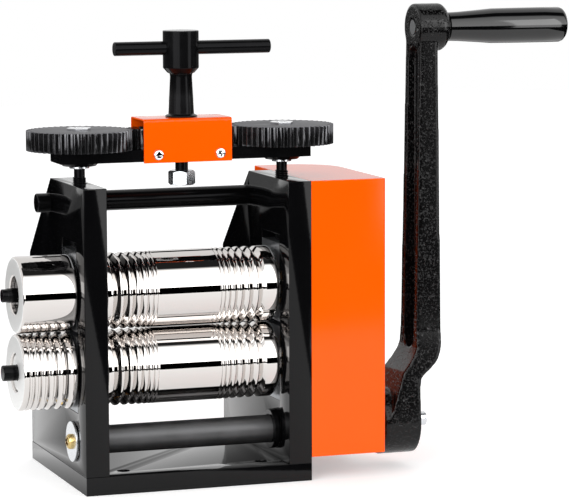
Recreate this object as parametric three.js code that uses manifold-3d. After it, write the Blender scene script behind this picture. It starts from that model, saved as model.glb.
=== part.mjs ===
// Jewellers rolling mill: two grooved rolls between thick side plates, driven by a
// crank through gears, and set by two screws that one tee handle turns together.
// Millimetres. X runs along the rolls towards the crank, the front faces -Y, Z is up.
// The origin is the centre of the base plate's underside.

import * as THREE from 'three';
import { mergeVertices } from 'three/addons/utils/BufferGeometryUtils.js';
import Module from 'manifold-3d';

const wasm = await Module();
wasm.setup();

// Frame
const platesGap = 114;            // between the side plates' inner faces
const plateThickness = 14.5;
const millHeight = 184.5;         // top of the side plates
const baseDepth = 130;
const baseThickness = 11;
const plateTopDepth = 76;         // flat top of a side plate, from its front
const slopeFoot = 132;            // height where the sloping rear edge turns upright
const axisFromFront = 34.2;       // rolls and screws, behind the front face
const mountHoleRadius = 4;
const mountHoleX = 44;
const mountHoleY = 49;
const baseScrewInset = 14;        // from the base's front and rear edges

// Fits
const runGap = 0.3;               // between pieces that turn or slide
const seatGap = 0.12;             // between a round piece and the piece that it is fixed in
const faceGap = 0.2;              // between faces that rub

// Rolls
const rollDiameter = 46.6;
const rollGap = 0.4;              // between the rolls as set
const rollLength = 110;
const lowerRollZ = 71.8;
const journalRadius = 11;
const rollChamfer = 1.8;
const flatFrom = -21.8;           // plain middle of the rolls
const flatTo = 17.6;
const grooveCount = 7;            // square wire grooves on each side of the plain middle
const grooveFirst = 0.9;          // width of the narrowest
const grooveStep = 0.7;
const grooveLand = 1.3;
const liftTravel = 5;             // how far the upper roll rises
const rollSides = 20;             // flats around a roll, as faceted

// Extension rolls, outside the left plate
const extensionLength = 33.5;
const extensionGap = 1;
const stubRadius = 9;
const recessRadius = 11.5;
const recessDepth = 8;
const halfRoundCount = 6;
const halfRoundFirst = 2;
const halfRoundStep = 0.72;
const halfRoundLand = 1;
const halfRoundInset = 3.2;       // from the outer end to the first groove
const upperBoltRadius = 4.4;
const upperBoltReach = 7.6;        // bolt's tip beyond the extension roll's end
const lowerBoltRadius = 4.8;
const lowerBoltReach = 7.7;
const boltHoleDepth = 20;

// Bearing blocks
const windowWidth = 33;
const windowTop = 150.5;
const blockReach = 22;            // from a roll's axis to the face towards the other roll
const lowerBlockFoot = 24;        // from the lower axis down to the window's sill
const bushRadius = 14;
const springRadius = 2.3;
const springWire = 0.8;
const springTurns = 3;
const pocketRadius = 2.75;
const pocketDepth = 7;
const pocketOffset = 12.9;        // from the roll's axis, forwards and backwards

// Drive
const driveModule = 1.5;
const pinionTeeth = 17;
const reductionTeeth = 41;
const driveGearWidth = 12;
const driveGearX = 94;
const rollGearTeeth = 12;
const rollGearWidth = 14;
const rollGearX = 76;
const rollGearReach = 0.92;       // addendum of the long teeth, in modules
const gearSeatRadius = 8;
const shaftForward = 5.5;         // how far the crank shaft lies in front of the rolls
const shaftRadius = 8.6;
const shaftBushRadius = 11;
const endWasherRadius = 12.3;
const endWasherThickness = 1.4;
const collarLength = 3.5;
const collarRadius = 12.2;

// Gear cover
const coverWidth = 48.5;
const coverDepth = 108;
const coverFoot = 14.5;
const coverWall = 1.5;
const coverCorner = 30;           // rounded rear corner, seen from above
const coverLip = 3;               // rim that lies against the side plate
const postRadius = 5;
const upperPostY = 4;
const upperPostDrop = 20.5;       // below the plates' top
const lowerPostY = 8;
const lowerPostRise = 21.5;       // above the cover's lower edge

// Crank
const crankReach = 246;           // shaft to handle
const hubRadius = 20.4;
const hubStart = 122;
const hubStep = 1.4;              // hub's outer face beyond the arm's inner face
const armHalfWidth = 12.4;
const armFoot = 145.9;            // inner face of the arm above the bend
const armInnerLean = 3.2;         // how much further out the arm is at the handle
const armThickFoot = 16.8;        // thickness of the arm just above the bend
const armThickTop = 11.5;         // and at the handle
const bendLow = 30;               // heights of the bend above the mill's foot
const bendShoulder = 57.4;
const bendHigh = 78;
const bossRadius = 14.7;
const bossLength = 16.9;          // straight part of the boss at the handle
const bossTaper = 4.6;
const channelDepth = 8.1;
const channelHalfWidth = 8;
const gripLength = 79.4;
const gripThin = 8.8;
const gripThick = 11;
const axleRadius = 4.5;

// Tie bars
const tieBarRadius = 6.35;
const tieBarY = 14;
const tieBarDrop = 15.5;          // below the plates' top
const tieHeadRadius = 5.9;
const tieHeadLength = 8.5;

// Screw adjustment
const topModule = 1.25;
const screwGearTeeth = 49;
const topPinionTeeth = 18;
const topGearWidth = 12;
const carrierRise = 13;           // bar's underside above the plates' top
const carrierThickness = 7.3;
const carrierBoss = 2;            // boss below the carrier bar at each screw
const carrierBossRadius = 12;
const carrierOverhang = 14.5;     // bar beyond each screw
const carrierHalfWidth = 12.7;
const screwRadius = 4.2;
const screwNeckRadius = 3.3;
const screwThreadAbove = 4;       // thread that shows above the side plate
const screwWasherRadius = 6;
const boxLength = 55.6;
const boxHeight = 18.4;           // above the carrier bar
const boxWall = 1.2;
const boxRadius = 1.8;
const spindleRadius = 3.9;
const spindleNutDrop = 6.9;       // nut's top below the carrier bar
const spindleNutHeight = 8.8;
const teeNeckHeight = 26.8;       // above the box
const teeConeHeight = 3;
const teeHeadHeight = 22.5;
const teeHeadRadius = 10.9;
const teeBarRise = 12;            // above the head's foot
const teeBarRadius = 4.2;
const teeBarLeft = -42;
const teeBarRight = 56.5;

// Worked out from the sizes above
const frontY = -baseDepth / 2;
const rearY = baseDepth / 2;
const axisY = frontY + axisFromFront;
const innerX = platesGap / 2;
const outerX = innerX + plateThickness;
const rollRadius = rollDiameter / 2;
const rollSpacing = rollDiameter + rollGap;
const upperRollZ = lowerRollZ + rollSpacing;
const shaftY = axisY - shaftForward;
const driveSpacing = driveModule * (pinionTeeth + reductionTeeth) / 2;
const shaftZ = lowerRollZ - Math.sqrt(driveSpacing ** 2 - shaftForward ** 2);
const windowSill = lowerRollZ - lowerBlockFoot;
const upperBlockTop = windowTop - liftTravel - runGap;
const idlerX = topModule * topPinionTeeth;
const carrierFoot = millHeight + carrierRise;
const carrierTop = carrierFoot + carrierThickness;
const boxTop = carrierTop + boxHeight;
const spindleNutTop = carrierFoot - spindleNutDrop;
const teeNeckTop = boxTop + teeNeckHeight;
const teeHeadFoot = teeNeckTop + teeConeHeight;
const teeHeadTop = teeHeadFoot + teeHeadHeight;
const teeBarZ = teeHeadFoot + teeBarRise;
const tieBarZ = millHeight - tieBarDrop;
const screwX = idlerX + topModule * (topPinionTeeth + screwGearTeeth) / 2;
const topGearFoot = carrierTop + faceGap;
const topGearTop = topGearFoot + topGearWidth;
const coverX = outerX + coverWidth;
const coverRear = frontY + coverDepth;
const handleZ = shaftZ + crankReach;
const hubEnd = armFoot + hubStep;
const armInnerTop = armFoot + armInnerLean;
const armOuterFoot = armFoot + armThickFoot;
const armOuterTop = armInnerTop + armThickTop;
const bossEnd = armInnerTop + bossLength;
const bossTaperEnd = bossEnd + bossTaper;
const channelFloor = armFoot + channelDepth;
const extensionStart = -outerX - extensionGap;
const extensionEnd = extensionStart - extensionLength;
const recessFloor = extensionEnd + recessDepth;

// Finishes
const finish = (color, roughness, metalness) => () =>
  new THREE.MeshStandardMaterial({ color, roughness, metalness });
const blackPaint = finish(0x111112, 0.25, 0);
const orangePaint = finish(0xff6405, 0.3, 0);
const polishedSteel = finish(0xdcdcdc, 0.08, 1);
const blackSteel = finish(0x1c1c1e, 0.35, 0.8);
const zincSteel = finish(0xc9ccd0, 0.25, 1);
const yellowZinc = finish(0xc9a861, 0.3, 1);
const bronze = finish(0xb5863c, 0.35, 1);
const gearSteel = finish(0x8d9094, 0.3, 1);
const castEnamel = finish(0x101012, 0.4, 0);
const blackPlastic = finish(0x0d0d0f, 0.15, 0);

// A closed mesh with shared corners, its faces turned outwards
function closed(geometry) {
  const bare = geometry.index ? geometry.toNonIndexed() : geometry.clone();
  for (const name of Object.keys(bare.attributes)) {
    if (name !== 'position') bare.deleteAttribute(name);
  }
  const merged = mergeVertices(bare, 1e-4);
  const point = merged.attributes.position;
  const index = Array.from(merged.index.array);
  const kept = [];
  let volume = 0;
  const a = new THREE.Vector3();
  const b = new THREE.Vector3();
  const c = new THREE.Vector3();
  for (let i = 0; i < index.length; i += 3) {
    const [p, q, r] = index.slice(i, i + 3);
    if (p === q || q === r || r === p) continue;
    kept.push(p, q, r);
    a.fromBufferAttribute(point, p);
    b.fromBufferAttribute(point, q);
    c.fromBufferAttribute(point, r);
    volume += a.dot(b.cross(c)) / 6;
  }
  if (volume < 0) kept.reverse();
  merged.setIndex(kept);
  return merged;
}

function toSolid(geometry) {
  const mesh = closed(geometry);
  return new wasm.Manifold(new wasm.Mesh({
    numProp: 3,
    vertProperties: new Float32Array(mesh.attributes.position.array),
    triVerts: new Uint32Array(mesh.index.array),
  }));
}

function fromSolid(solid) {
  const mesh = solid.getMesh();
  const geometry = new THREE.BufferGeometry();
  geometry.setAttribute('position', new THREE.BufferAttribute(mesh.vertProperties, 3));
  geometry.setIndex(new THREE.BufferAttribute(mesh.triVerts, 1));
  return geometry;
}

function cut(body, ...tools) {
  return fromSolid(tools.reduce((rest, tool) => rest.subtract(toSolid(tool)), toSolid(body)));
}

function join(...bodies) {
  return fromSolid(bodies.map(toSolid).reduce((sum, body) => sum.add(body)));
}

function common(first, second) {
  return fromSolid(toSolid(first).intersect(toSolid(second)));
}

// Shapes
function block(x0, x1, y0, y1, z0, z1) {
  const geometry = new THREE.BoxGeometry(x1 - x0, y1 - y0, z1 - z0);
  return geometry.translate((x0 + x1) / 2, (y0 + y1) / 2, (z0 + z1) / 2);
}

// Turned about an axis along X through (y, z); the profile lists [x, radius]
function turnX(profile, y, z, sides = 16) {
  const points = profile.map(([x, radius]) => new THREE.Vector2(radius, x));
  const geometry = new THREE.LatheGeometry(points, sides);
  return geometry.rotateZ(-Math.PI / 2).translate(0, y, z);
}

// Turned about an upright axis through (x, y); the profile lists [z, radius]
function turnZ(profile, x, y, sides = 16) {
  const points = profile.map(([z, radius]) => new THREE.Vector2(radius, z));
  return new THREE.LatheGeometry(points, sides).rotateX(Math.PI / 2).translate(x, y, 0);
}

function rodX(x0, x1, radius, y, z, sides = 16) {
  return turnX([[x0, 0], [x0, radius], [x1, radius], [x1, 0]], y, z, sides);
}

function rodZ(z0, z1, radius, x, y, sides = 16) {
  return turnZ([[z0, 0], [z0, radius], [z1, radius], [z1, 0]], x, y, sides);
}

function ringX(x0, x1, inner, outer, y, z, sides = 16) {
  return turnX([[x0, inner], [x0, outer], [x1, outer], [x1, inner], [x0, inner]], y, z, sides);
}

// An outline given in (y, z), drawn out along X
function alongX(shape, x0, x1, curveSegments = 12) {
  const options = { depth: x1 - x0, bevelEnabled: false, curveSegments };
  const geometry = new THREE.ExtrudeGeometry(shape, options);
  const turn = new THREE.Matrix4().makeBasis(
    new THREE.Vector3(0, 1, 0), new THREE.Vector3(0, 0, 1), new THREE.Vector3(1, 0, 0));
  return geometry.applyMatrix4(turn).translate(x0, 0, 0);
}

// An outline given in (x, z), drawn out along Y
function alongY(shape, y0, y1, curveSegments = 12) {
  const options = { depth: y1 - y0, bevelEnabled: false, curveSegments };
  const geometry = new THREE.ExtrudeGeometry(shape, options);
  const turn = new THREE.Matrix4().makeBasis(
    new THREE.Vector3(1, 0, 0), new THREE.Vector3(0, 0, 1), new THREE.Vector3(0, -1, 0));
  return geometry.applyMatrix4(turn).translate(0, y1, 0);
}

// An outline given in (x, y), drawn out along Z
function alongZ(shape, z0, z1, curveSegments = 12) {
  const options = { depth: z1 - z0, bevelEnabled: false, curveSegments };
  return new THREE.ExtrudeGeometry(shape, options).translate(0, 0, z0);
}

function outline(points) {
  return new THREE.Shape(points.map(([u, v]) => new THREE.Vector2(u, v)));
}

function hexagon(across, turn = 0) {
  const corners = [];
  for (let i = 0; i < 6; i += 1) {
    const angle = turn + i * Math.PI / 3;
    const radius = across / Math.sqrt(3);
    corners.push([radius * Math.cos(angle), radius * Math.sin(angle)]);
  }
  return outline(corners);
}

// Involute gear outline about (0, 0); the first tooth points along `turn`
function gearOutline({ teeth, size, turn = 0, pressure = 20, reach = 1, root = 1.2, slack = 0.15,
  flankSteps = 2 }) {
  const alpha = THREE.MathUtils.degToRad(pressure);
  const pitchRadius = size * teeth / 2;
  const baseRadius = pitchRadius * Math.cos(alpha);
  const tipRadius = pitchRadius + reach * size;
  const rootRadius = pitchRadius - root * size;
  const involute = (angle) => Math.tan(angle) - angle;
  const halfPitchTooth = (Math.PI * size / 2 - slack) / 2 / pitchRadius;
  const halfAngle = (radius) => {
    const at = radius > baseRadius ? Math.acos(baseRadius / radius) : 0;
    return halfPitchTooth + involute(alpha) - involute(at);
  };
  const start = Math.max(rootRadius, baseRadius);
  const radii = [rootRadius];
  if (start > rootRadius + 0.05 && flankSteps > 1) radii.push(start);
  for (let step = 1; step <= flankSteps; step += 1) {
    radii.push(start + (tipRadius - start) * step / flankSteps);
  }
  const points = [];
  for (let tooth = 0; tooth < teeth; tooth += 1) {
    const centre = turn + tooth * 2 * Math.PI / teeth;
    const flank = radii.map((radius) => [radius, halfAngle(radius)]);
    for (const [radius, half] of flank) {
      points.push([radius * Math.cos(centre - half), radius * Math.sin(centre - half)]);
    }
    for (const [radius, half] of flank.reverse()) {
      points.push([radius * Math.cos(centre + half), radius * Math.sin(centre + half)]);
    }
  }
  return outline(points);
}

function withBore(shape, radius, segments = 16) {
  const hole = new THREE.Path();
  const corner = (i) => [radius * Math.cos(i * 2 * Math.PI / segments),
    radius * Math.sin(i * 2 * Math.PI / segments)];
  hole.moveTo(...corner(0));
  for (let i = 1; i < segments; i += 1) hole.lineTo(...corner(i));
  hole.closePath();
  shape.holes.push(hole);
  return shape;
}

const mill = new THREE.Group();

function add(name, geometry, material) {
  const mesh = new THREE.Mesh(closed(geometry), material());
  mesh.name = name;
  mill.add(mesh);
  return mesh;
}

// Base and side plates
function buildFrame() {
  const mountHoles = [];
  for (const x of [-mountHoleX, mountHoleX]) {
    for (const y of [-mountHoleY, mountHoleY]) {
      mountHoles.push(rodZ(-1, baseThickness + 1, mountHoleRadius, x, y, 12));
    }
  }
  const screwHoles = [];
  for (const x of [-1, 1]) {
    for (const y of [frontY + baseScrewInset, rearY - baseScrewInset]) {
      screwHoles.push([x * (innerX + outerX) / 2, y]);
    }
  }
  const countersink = (x, y, gap) => turnZ([
    [-1, 0], [-1, 5 + gap], [0, 5 + gap], [3, 2.5 + gap], [baseThickness + 8, 2.5 + gap],
    [baseThickness + 8, 0]], x, y, 12);
  const plateHoles = screwHoles.map(([x, y]) => countersink(x, y, seatGap));
  add('base_plate', cut(block(-outerX, outerX, frontY, rearY, 0, baseThickness),
    ...mountHoles, ...plateHoles), blackPaint);

  const names = ['left_front', 'left_rear', 'right_front', 'right_rear'];
  screwHoles.forEach(([x, y], i) => {
    add(`base_screw_${names[i]}`, turnZ([
      [0.2, 0], [0.2, 4.8], [3, 2.5], [baseThickness + 7.6, 2.5], [baseThickness + 7.6, 0]],
    x, y, 12), zincSteel);
  });

  const plateShape = outline([
    [frontY, baseThickness], [rearY, baseThickness], [rearY, slopeFoot],
    [frontY + plateTopDepth, millHeight], [frontY, millHeight]]);
  const window = new THREE.Path();
  window.moveTo(axisY - windowWidth / 2, windowSill);
  window.lineTo(axisY + windowWidth / 2, windowSill);
  window.lineTo(axisY + windowWidth / 2, windowTop);
  window.lineTo(axisY - windowWidth / 2, windowTop);
  window.closePath();
  plateShape.holes.push(window);

  for (const side of [-1, 1]) {
    const name = side < 0 ? 'left' : 'right';
    const x0 = side < 0 ? -outerX : innerX;
    const x1 = x0 + plateThickness;
    add(`side_plate_${name}`, cut(alongX(plateShape, x0, x1),
      rodX(x0 - 1, x1 + 1, shaftBushRadius + seatGap, shaftY, shaftZ),
      rodX(x0 - 1, x1 + 1, 3 + seatGap, tieBarY, tieBarZ, 12),
      rodZ(windowTop - 1, millHeight + 1, screwRadius + runGap, side * screwX, axisY),
      ...plateHoles), blackPaint);
    add(`shaft_bush_${name}`, ringX(x0, x1, shaftRadius + runGap, shaftBushRadius,
      shaftY, shaftZ), bronze);
  }

  add('upper_tie_bar', turnX([
    [-innerX + 12, 0], [-innerX + 12, 3 + seatGap], [-innerX, 3 + seatGap],
    [-innerX, tieBarRadius], [innerX, tieBarRadius], [innerX, 3 + seatGap],
    [innerX - 12, 3 + seatGap], [innerX - 12, 0]], tieBarY, tieBarZ), blackSteel);
  for (const side of [-1, 1]) {
    add(side < 0 ? 'tie_bolt_left' : 'tie_bolt_right', turnX([
      [side * (innerX - 11), 0], [side * (innerX - 11), 3], [side * outerX, 3],
      [side * outerX, tieHeadRadius], [side * (outerX + tieHeadLength - 1), tieHeadRadius],
      [side * (outerX + tieHeadLength), tieHeadRadius - 1],
      [side * (outerX + tieHeadLength), 0]], tieBarY, tieBarZ), blackSteel);
  }
}

// Bearing blocks, their bushes and the springs that lift the upper blocks
function buildBlocks() {
  const half = windowWidth / 2 - runGap;
  for (const side of [-1, 1]) {
    const name = side < 0 ? 'left' : 'right';
    const x0 = side < 0 ? -outerX : innerX;
    const x1 = x0 + plateThickness;
    const midX = (x0 + x1) / 2;
    const bore = (z) => rodX(x0 - 1, x1 + 1, bushRadius + seatGap, axisY, z);
    const pocket = (y, z0, z1) => rodZ(z0, z1, pocketRadius, midX, axisY + y, 12);
    const lowerTop = lowerRollZ + blockReach;
    const upperFoot = upperRollZ - blockReach;
    const offsets = [-pocketOffset, pocketOffset];
    add(`lower_block_${name}`, cut(
      block(x0, x1, axisY - half, axisY + half, windowSill, lowerTop),
      bore(lowerRollZ),
      ...offsets.map((y) => pocket(y, lowerTop - pocketDepth, lowerTop + 1))), gearSteel);
    add(`upper_block_${name}`, cut(
      block(x0, x1, axisY - half, axisY + half, upperFoot, upperBlockTop),
      bore(upperRollZ),
      ...offsets.map((y) => pocket(y, upperFoot - 1, upperFoot + pocketDepth))), gearSteel);
    add(`lower_bush_${name}`, ringX(x0, x1, journalRadius + runGap, bushRadius,
      axisY, lowerRollZ), bronze);
    add(`upper_bush_${name}`, ringX(x0, x1, journalRadius + runGap, bushRadius,
      axisY, upperRollZ), bronze);
    offsets.forEach((y, i) => {
      const foot = lowerTop - pocketDepth + faceGap;
      const top = upperFoot + pocketDepth - faceGap;
      add(`lift_spring_${name}_${i === 0 ? 'front' : 'rear'}`,
        spring(midX, axisY + y, foot, top), zincSteel);
    });
  }
}

// One unbroken helical tube that stands between two heights
function spring(x, y, foot, top) {
  const steps = 8;
  const sides = 5;
  const wire = springWire / 2;
  const rise = top - foot - springWire;
  const centreRadius = springRadius - wire;
  const points = [];
  const total = springTurns * steps;
  for (let i = 0; i <= total; i += 1) {
    const angle = i * 2 * Math.PI / steps;
    const z = foot + wire + rise * i / total;
    for (let k = 0; k < sides; k += 1) {
      const around = k * 2 * Math.PI / sides;
      const radius = centreRadius + wire * Math.cos(around);
      points.push(new THREE.Vector3(x + radius * Math.cos(angle), y + radius * Math.sin(angle),
        z + wire * Math.sin(around)));
    }
  }
  let gap = Infinity;
  for (let i = 0; i < points.length; i += 1) {
    for (let j = i + sides * steps / 2; j < points.length; j += 1) {
      gap = Math.min(gap, points[i].distanceTo(points[j]));
    }
  }
  console.log(`lift spring: least gap to itself ${gap.toFixed(2)} mm`);
  const index = [];
  for (let i = 0; i < total; i += 1) {
    for (let k = 0; k < sides; k += 1) {
      const a = i * sides + k;
      const b = i * sides + (k + 1) % sides;
      index.push(a, b, a + sides, b, b + sides, a + sides);
    }
  }
  const last = total * sides;
  for (let k = 1; k < sides - 1; k += 1) {
    index.push(0, k + 1, k);
    index.push(last, last + k, last + k + 1);
  }
  const geometry = new THREE.BufferGeometry().setFromPoints(points);
  geometry.setIndex(index);
  return geometry;
}

// The roll's grooved outline from its left end to its right end, as [x, radius]
function rollOutline() {
  const half = rollLength / 2;
  const grooves = [];
  let reach = 0;
  for (let i = 0; i < grooveCount; i += 1) {
    const width = grooveFirst + grooveStep * i;
    grooves.push([reach, width]);
    reach += width + grooveLand;
  }
  const vee = (x, width) => [[x, rollRadius], [x + width / 2, rollRadius - width / 2],
    [x + width, rollRadius]];
  const left = grooves.slice().reverse()
    .flatMap(([start, width]) => vee(flatFrom - start - width, width));
  const right = grooves.flatMap(([start, width]) => vee(flatTo + start, width));
  return [[-half, rollRadius - rollChamfer], [-half + rollChamfer, rollRadius], ...left, ...right,
    [half - rollChamfer, rollRadius], [half, rollRadius - rollChamfer]];
}

// A roll with its journals, the stub for the extension roll and the seat for its gears
function rollWithShaft(z, seatEnd) {
  const boltHole = 3.2;
  return turnX([
    [recessFloor + boltHoleDepth, 0], [recessFloor + boltHoleDepth, boltHole], [recessFloor + faceGap, boltHole],
    [recessFloor + faceGap, stubRadius], [-outerX - 0.5, stubRadius],
    [-outerX - 0.5, journalRadius], [-rollLength / 2, journalRadius],
    ...rollOutline(),
    [rollLength / 2, journalRadius], [rollGearX - 1, journalRadius],
    [rollGearX - 1, gearSeatRadius], [seatEnd - 1, gearSeatRadius],
    [seatEnd, gearSeatRadius - 1], [seatEnd, 0]], axisY, z, rollSides);
}

function extensionRoll(z, grooved) {
  const rim = [];
  let x = extensionEnd + halfRoundInset;
  const arcSteps = 3;
  for (let i = 0; grooved && i < halfRoundCount; i += 1) {
    const radius = (halfRoundFirst + halfRoundStep * i) / 2;
    for (let step = 0; step <= arcSteps; step += 1) {
      const angle = Math.PI * step / arcSteps;
      rim.push([x + radius - radius * Math.cos(angle), rollRadius - radius * Math.sin(angle)]);
    }
    x += 2 * radius + halfRoundLand;
  }
  const chamfer = 1;
  return turnX([
    [recessFloor, stubRadius + seatGap], [recessFloor, recessRadius],
    [extensionEnd, recessRadius], [extensionEnd, rollRadius - chamfer],
    [extensionEnd + chamfer, rollRadius], ...rim, [extensionStart - chamfer, rollRadius],
    [extensionStart, rollRadius - chamfer], [extensionStart, stubRadius + seatGap],
    [recessFloor, stubRadius + seatGap]], axisY, z, rollSides);
}

// The bolt that holds an extension roll: its washer face covers the bore's edge
function extensionBolt(z, headRadius, reach) {
  const tip = extensionEnd - reach;
  return turnX([
    [tip, 0], [tip, headRadius - 1], [tip + 1, headRadius], [recessFloor - 2.5, headRadius],
    [recessFloor - 2.5, recessRadius - 1], [recessFloor - faceGap, recessRadius - 1],
    [recessFloor - faceGap, 2.9], [recessFloor + boltHoleDepth - 2, 2.9],
    [recessFloor + boltHoleDepth - 2, 0]], axisY, z, 12);
}

function gearAlongX(options, bore, x0, x1, y, z, boreSides) {
  return alongX(withBore(gearOutline(options), bore, boreSides), x0, x1).translate(0, y, z);
}

// Angle, from +Y towards +Z, of the line from the lower roll down to the crank shaft
const meshAngle = Math.atan2(shaftZ - lowerRollZ, shaftY - axisY);


function buildRolls() {
  const up = Math.PI / 2;
  const rollGear = {
    teeth: rollGearTeeth, size: rollSpacing / rollGearTeeth, pressure: 25,
    reach: rollGearReach, root: rollGearReach + 0.2, slack: 0.7, flankSteps: 1,
  };
  const lowerSeatEnd = driveGearX + driveGearWidth + 4;
  const upperSeatEnd = rollGearX + rollGearWidth + 2;
  const rolls = [
    ['lower', lowerRollZ, lowerSeatEnd, up, true, lowerBoltRadius, lowerBoltReach],
    ['upper', upperRollZ, upperSeatEnd, up + Math.PI / rollGearTeeth, false,
      upperBoltRadius, upperBoltReach],
  ];
  for (const [name, z, seatEnd, turn, grooved, boltRadius, boltReach] of rolls) {
    add(`${name}_roll`, rollWithShaft(z, seatEnd), polishedSteel);
    add(`${name}_extension_roll`, extensionRoll(z, grooved), polishedSteel);
    add(`${name}_extension_bolt`, extensionBolt(z, boltRadius, boltReach), blackSteel);
    add(`${name}_roll_gear`, gearAlongX({ ...rollGear, turn }, gearSeatRadius + seatGap,
      rollGearX, rollGearX + rollGearWidth, axisY, z, rollSides), gearSteel);
  }
  add('reduction_gear', gearAlongX({
    teeth: reductionTeeth, size: driveModule, turn: meshAngle + Math.PI / reductionTeeth,
    flankSteps: 1 }, gearSeatRadius + seatGap, driveGearX, driveGearX + driveGearWidth,
  axisY, lowerRollZ, rollSides), gearSteel);
}

// Crank shaft, its pinion and what keeps it in the side plates
function buildShaft() {
  const shaftEnd = hubEnd - 5;
  const shaftStart = -outerX + 0.2;
  add('crank_shaft', turnX([
    [shaftStart + 16, 0], [shaftStart + 16, 2.6], [shaftStart, 2.6], [shaftStart, shaftRadius],
    [shaftEnd, shaftRadius], [shaftEnd, 3.2], [shaftEnd - 12, 3.2], [shaftEnd - 12, 0]],
  shaftY, shaftZ), blackSteel);
  add('drive_pinion', gearAlongX({
    teeth: pinionTeeth, size: driveModule, turn: meshAngle + Math.PI, flankSteps: 1 },
    shaftRadius + seatGap, driveGearX - 1, driveGearX + driveGearWidth + 1, shaftY, shaftZ),
  gearSteel);
  add('shaft_collar', ringX(innerX - collarLength - faceGap, innerX - faceGap,
    shaftRadius + seatGap, collarRadius, shaftY, shaftZ), blackSteel);
  const washerStart = -outerX - faceGap;
  const washerEnd = washerStart - endWasherThickness;
  add('shaft_end_washer', ringX(washerEnd, washerStart, 2.6, endWasherRadius,
    shaftY, shaftZ), zincSteel);
  add('shaft_end_screw', turnX([
    [washerEnd - 2.9, 0], [washerEnd - 2.9, 2.6], [washerEnd - 2, 4.3],
    [washerEnd - faceGap, 4.7], [washerEnd - faceGap, 2.3], [shaftStart + 14, 2.3],
    [shaftStart + 14, 0]], shaftY, shaftZ), yellowZinc);
}

// Crank arm: its side view cut by its front view, then the bosses and the long channel
function buildCrank() {
  const side = new THREE.Shape();
  const waist = bendHigh + 9;
  side.moveTo(shaftY - hubRadius, shaftZ);
  side.absarc(shaftY, shaftZ, hubRadius, Math.PI, 2 * Math.PI, false);
  side.quadraticCurveTo(shaftY + hubRadius - 2, shaftZ + 30, shaftY + armHalfWidth + 1.4, waist);
  side.lineTo(shaftY + armHalfWidth, handleZ);
  side.lineTo(shaftY - armHalfWidth, handleZ);
  side.lineTo(shaftY - armHalfWidth - 1.4, waist);
  side.quadraticCurveTo(shaftY - hubRadius + 2, shaftZ + 30, shaftY - hubRadius, shaftZ);

  const front = new THREE.Shape();
  front.moveTo(hubStart + 4, shaftZ - hubRadius - 1);
  front.lineTo(hubStart + 4, bendLow);
  front.lineTo(armFoot - 9.6, bendShoulder + 3.6);
  front.quadraticCurveTo(armFoot, bendHigh - 6, armFoot, bendHigh);
  front.lineTo(armInnerTop, handleZ);
  front.lineTo(armOuterTop, handleZ);
  front.lineTo(armOuterFoot, bendHigh + 4);
  front.quadraticCurveTo(armOuterFoot, bendHigh - 6.5, armOuterFoot - 5.2, bendHigh - 12.5);
  front.lineTo(hubEnd + 1, bendShoulder);
  front.lineTo(hubEnd, bendShoulder - 7);
  front.lineTo(hubEnd, shaftZ - hubRadius - 1);
  front.closePath();

  const body = common(alongX(side, hubStart - 5, bossEnd + 5, 6),
    alongY(front, shaftY - hubRadius - 1, shaftY + hubRadius + 1, 3));
  const hub = turnX([[hubStart, 0], [hubStart, hubRadius - 2], [hubStart + 2, hubRadius],
    [hubEnd - 2.5, hubRadius], [hubEnd, hubRadius - 2.5], [hubEnd, 0]], shaftY, shaftZ, 24);
  const boss = turnX([[armInnerTop - 0.5, 0], [armInnerTop - 0.5, bossRadius - 0.8],
    [armInnerTop + 0.3, bossRadius], [bossEnd, bossRadius],
    [(bossEnd + bossTaperEnd) / 2, bossRadius - 1.8], [bossTaperEnd, gripThin + 0.5],
    [bossTaperEnd, 0]], shaftY, handleZ, 20);
  const channel = new THREE.Shape();
  const channelFoot = bendHigh + 5;
  const channelTop = handleZ - bossRadius - 5;
  channel.absarc(shaftY, channelFoot, channelHalfWidth, Math.PI, 2 * Math.PI, false);
  channel.absarc(shaftY, channelTop, channelHalfWidth, 0, Math.PI, false);
  channel.closePath();
  add('crank_arm', cut(join(body, hub, boss),
    alongX(channel, hubStart, channelFloor, 6),
    rodX(hubStart - 1, hubEnd - 5 + seatGap, shaftRadius + seatGap, shaftY, shaftZ),
    rodX(hubStart, hubEnd + 1, 3.4, shaftY, shaftZ, 12),
    rodX(armInnerTop - 2, bossTaperEnd + 1, axleRadius + seatGap, shaftY, handleZ)),
  castEnamel);
  add('crank_bolt', turnX([
    [hubEnd - 16, 0], [hubEnd - 16, 3], [hubEnd + 0.1, 3], [hubEnd + 0.1, 6.5],
    [hubEnd + 1.6, 6.5], [hubEnd + 1.6, 4.3], [hubEnd + 9, 4.3], [hubEnd + 9.9, 3.4],
    [hubEnd + 9.9, 0]], shaftY, shaftZ, 12), zincSteel);

  const gripStart = bossTaperEnd + runGap;
  const gripEnd = gripStart + gripLength;
  add('handle_axle', rodX(armInnerTop - 0.5, gripEnd - 8, axleRadius, shaftY, handleZ),
    zincSteel);
  add('handle_grip', turnX([
    [gripEnd - 7, 0], [gripEnd - 7, axleRadius + runGap], [gripStart, axleRadius + runGap],
    [gripStart, gripThin], [gripStart + 8, gripThin + 0.3],
    [gripStart + gripLength * 0.38, gripThick - 0.2], [gripEnd - 16, gripThick],
    [gripEnd - 3, gripThick - 0.1], [gripEnd - 0.8, gripThick - 1.4],
    [gripEnd, gripThick - 4], [gripEnd, 0]], shaftY, handleZ), blackPlastic);
}

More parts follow.
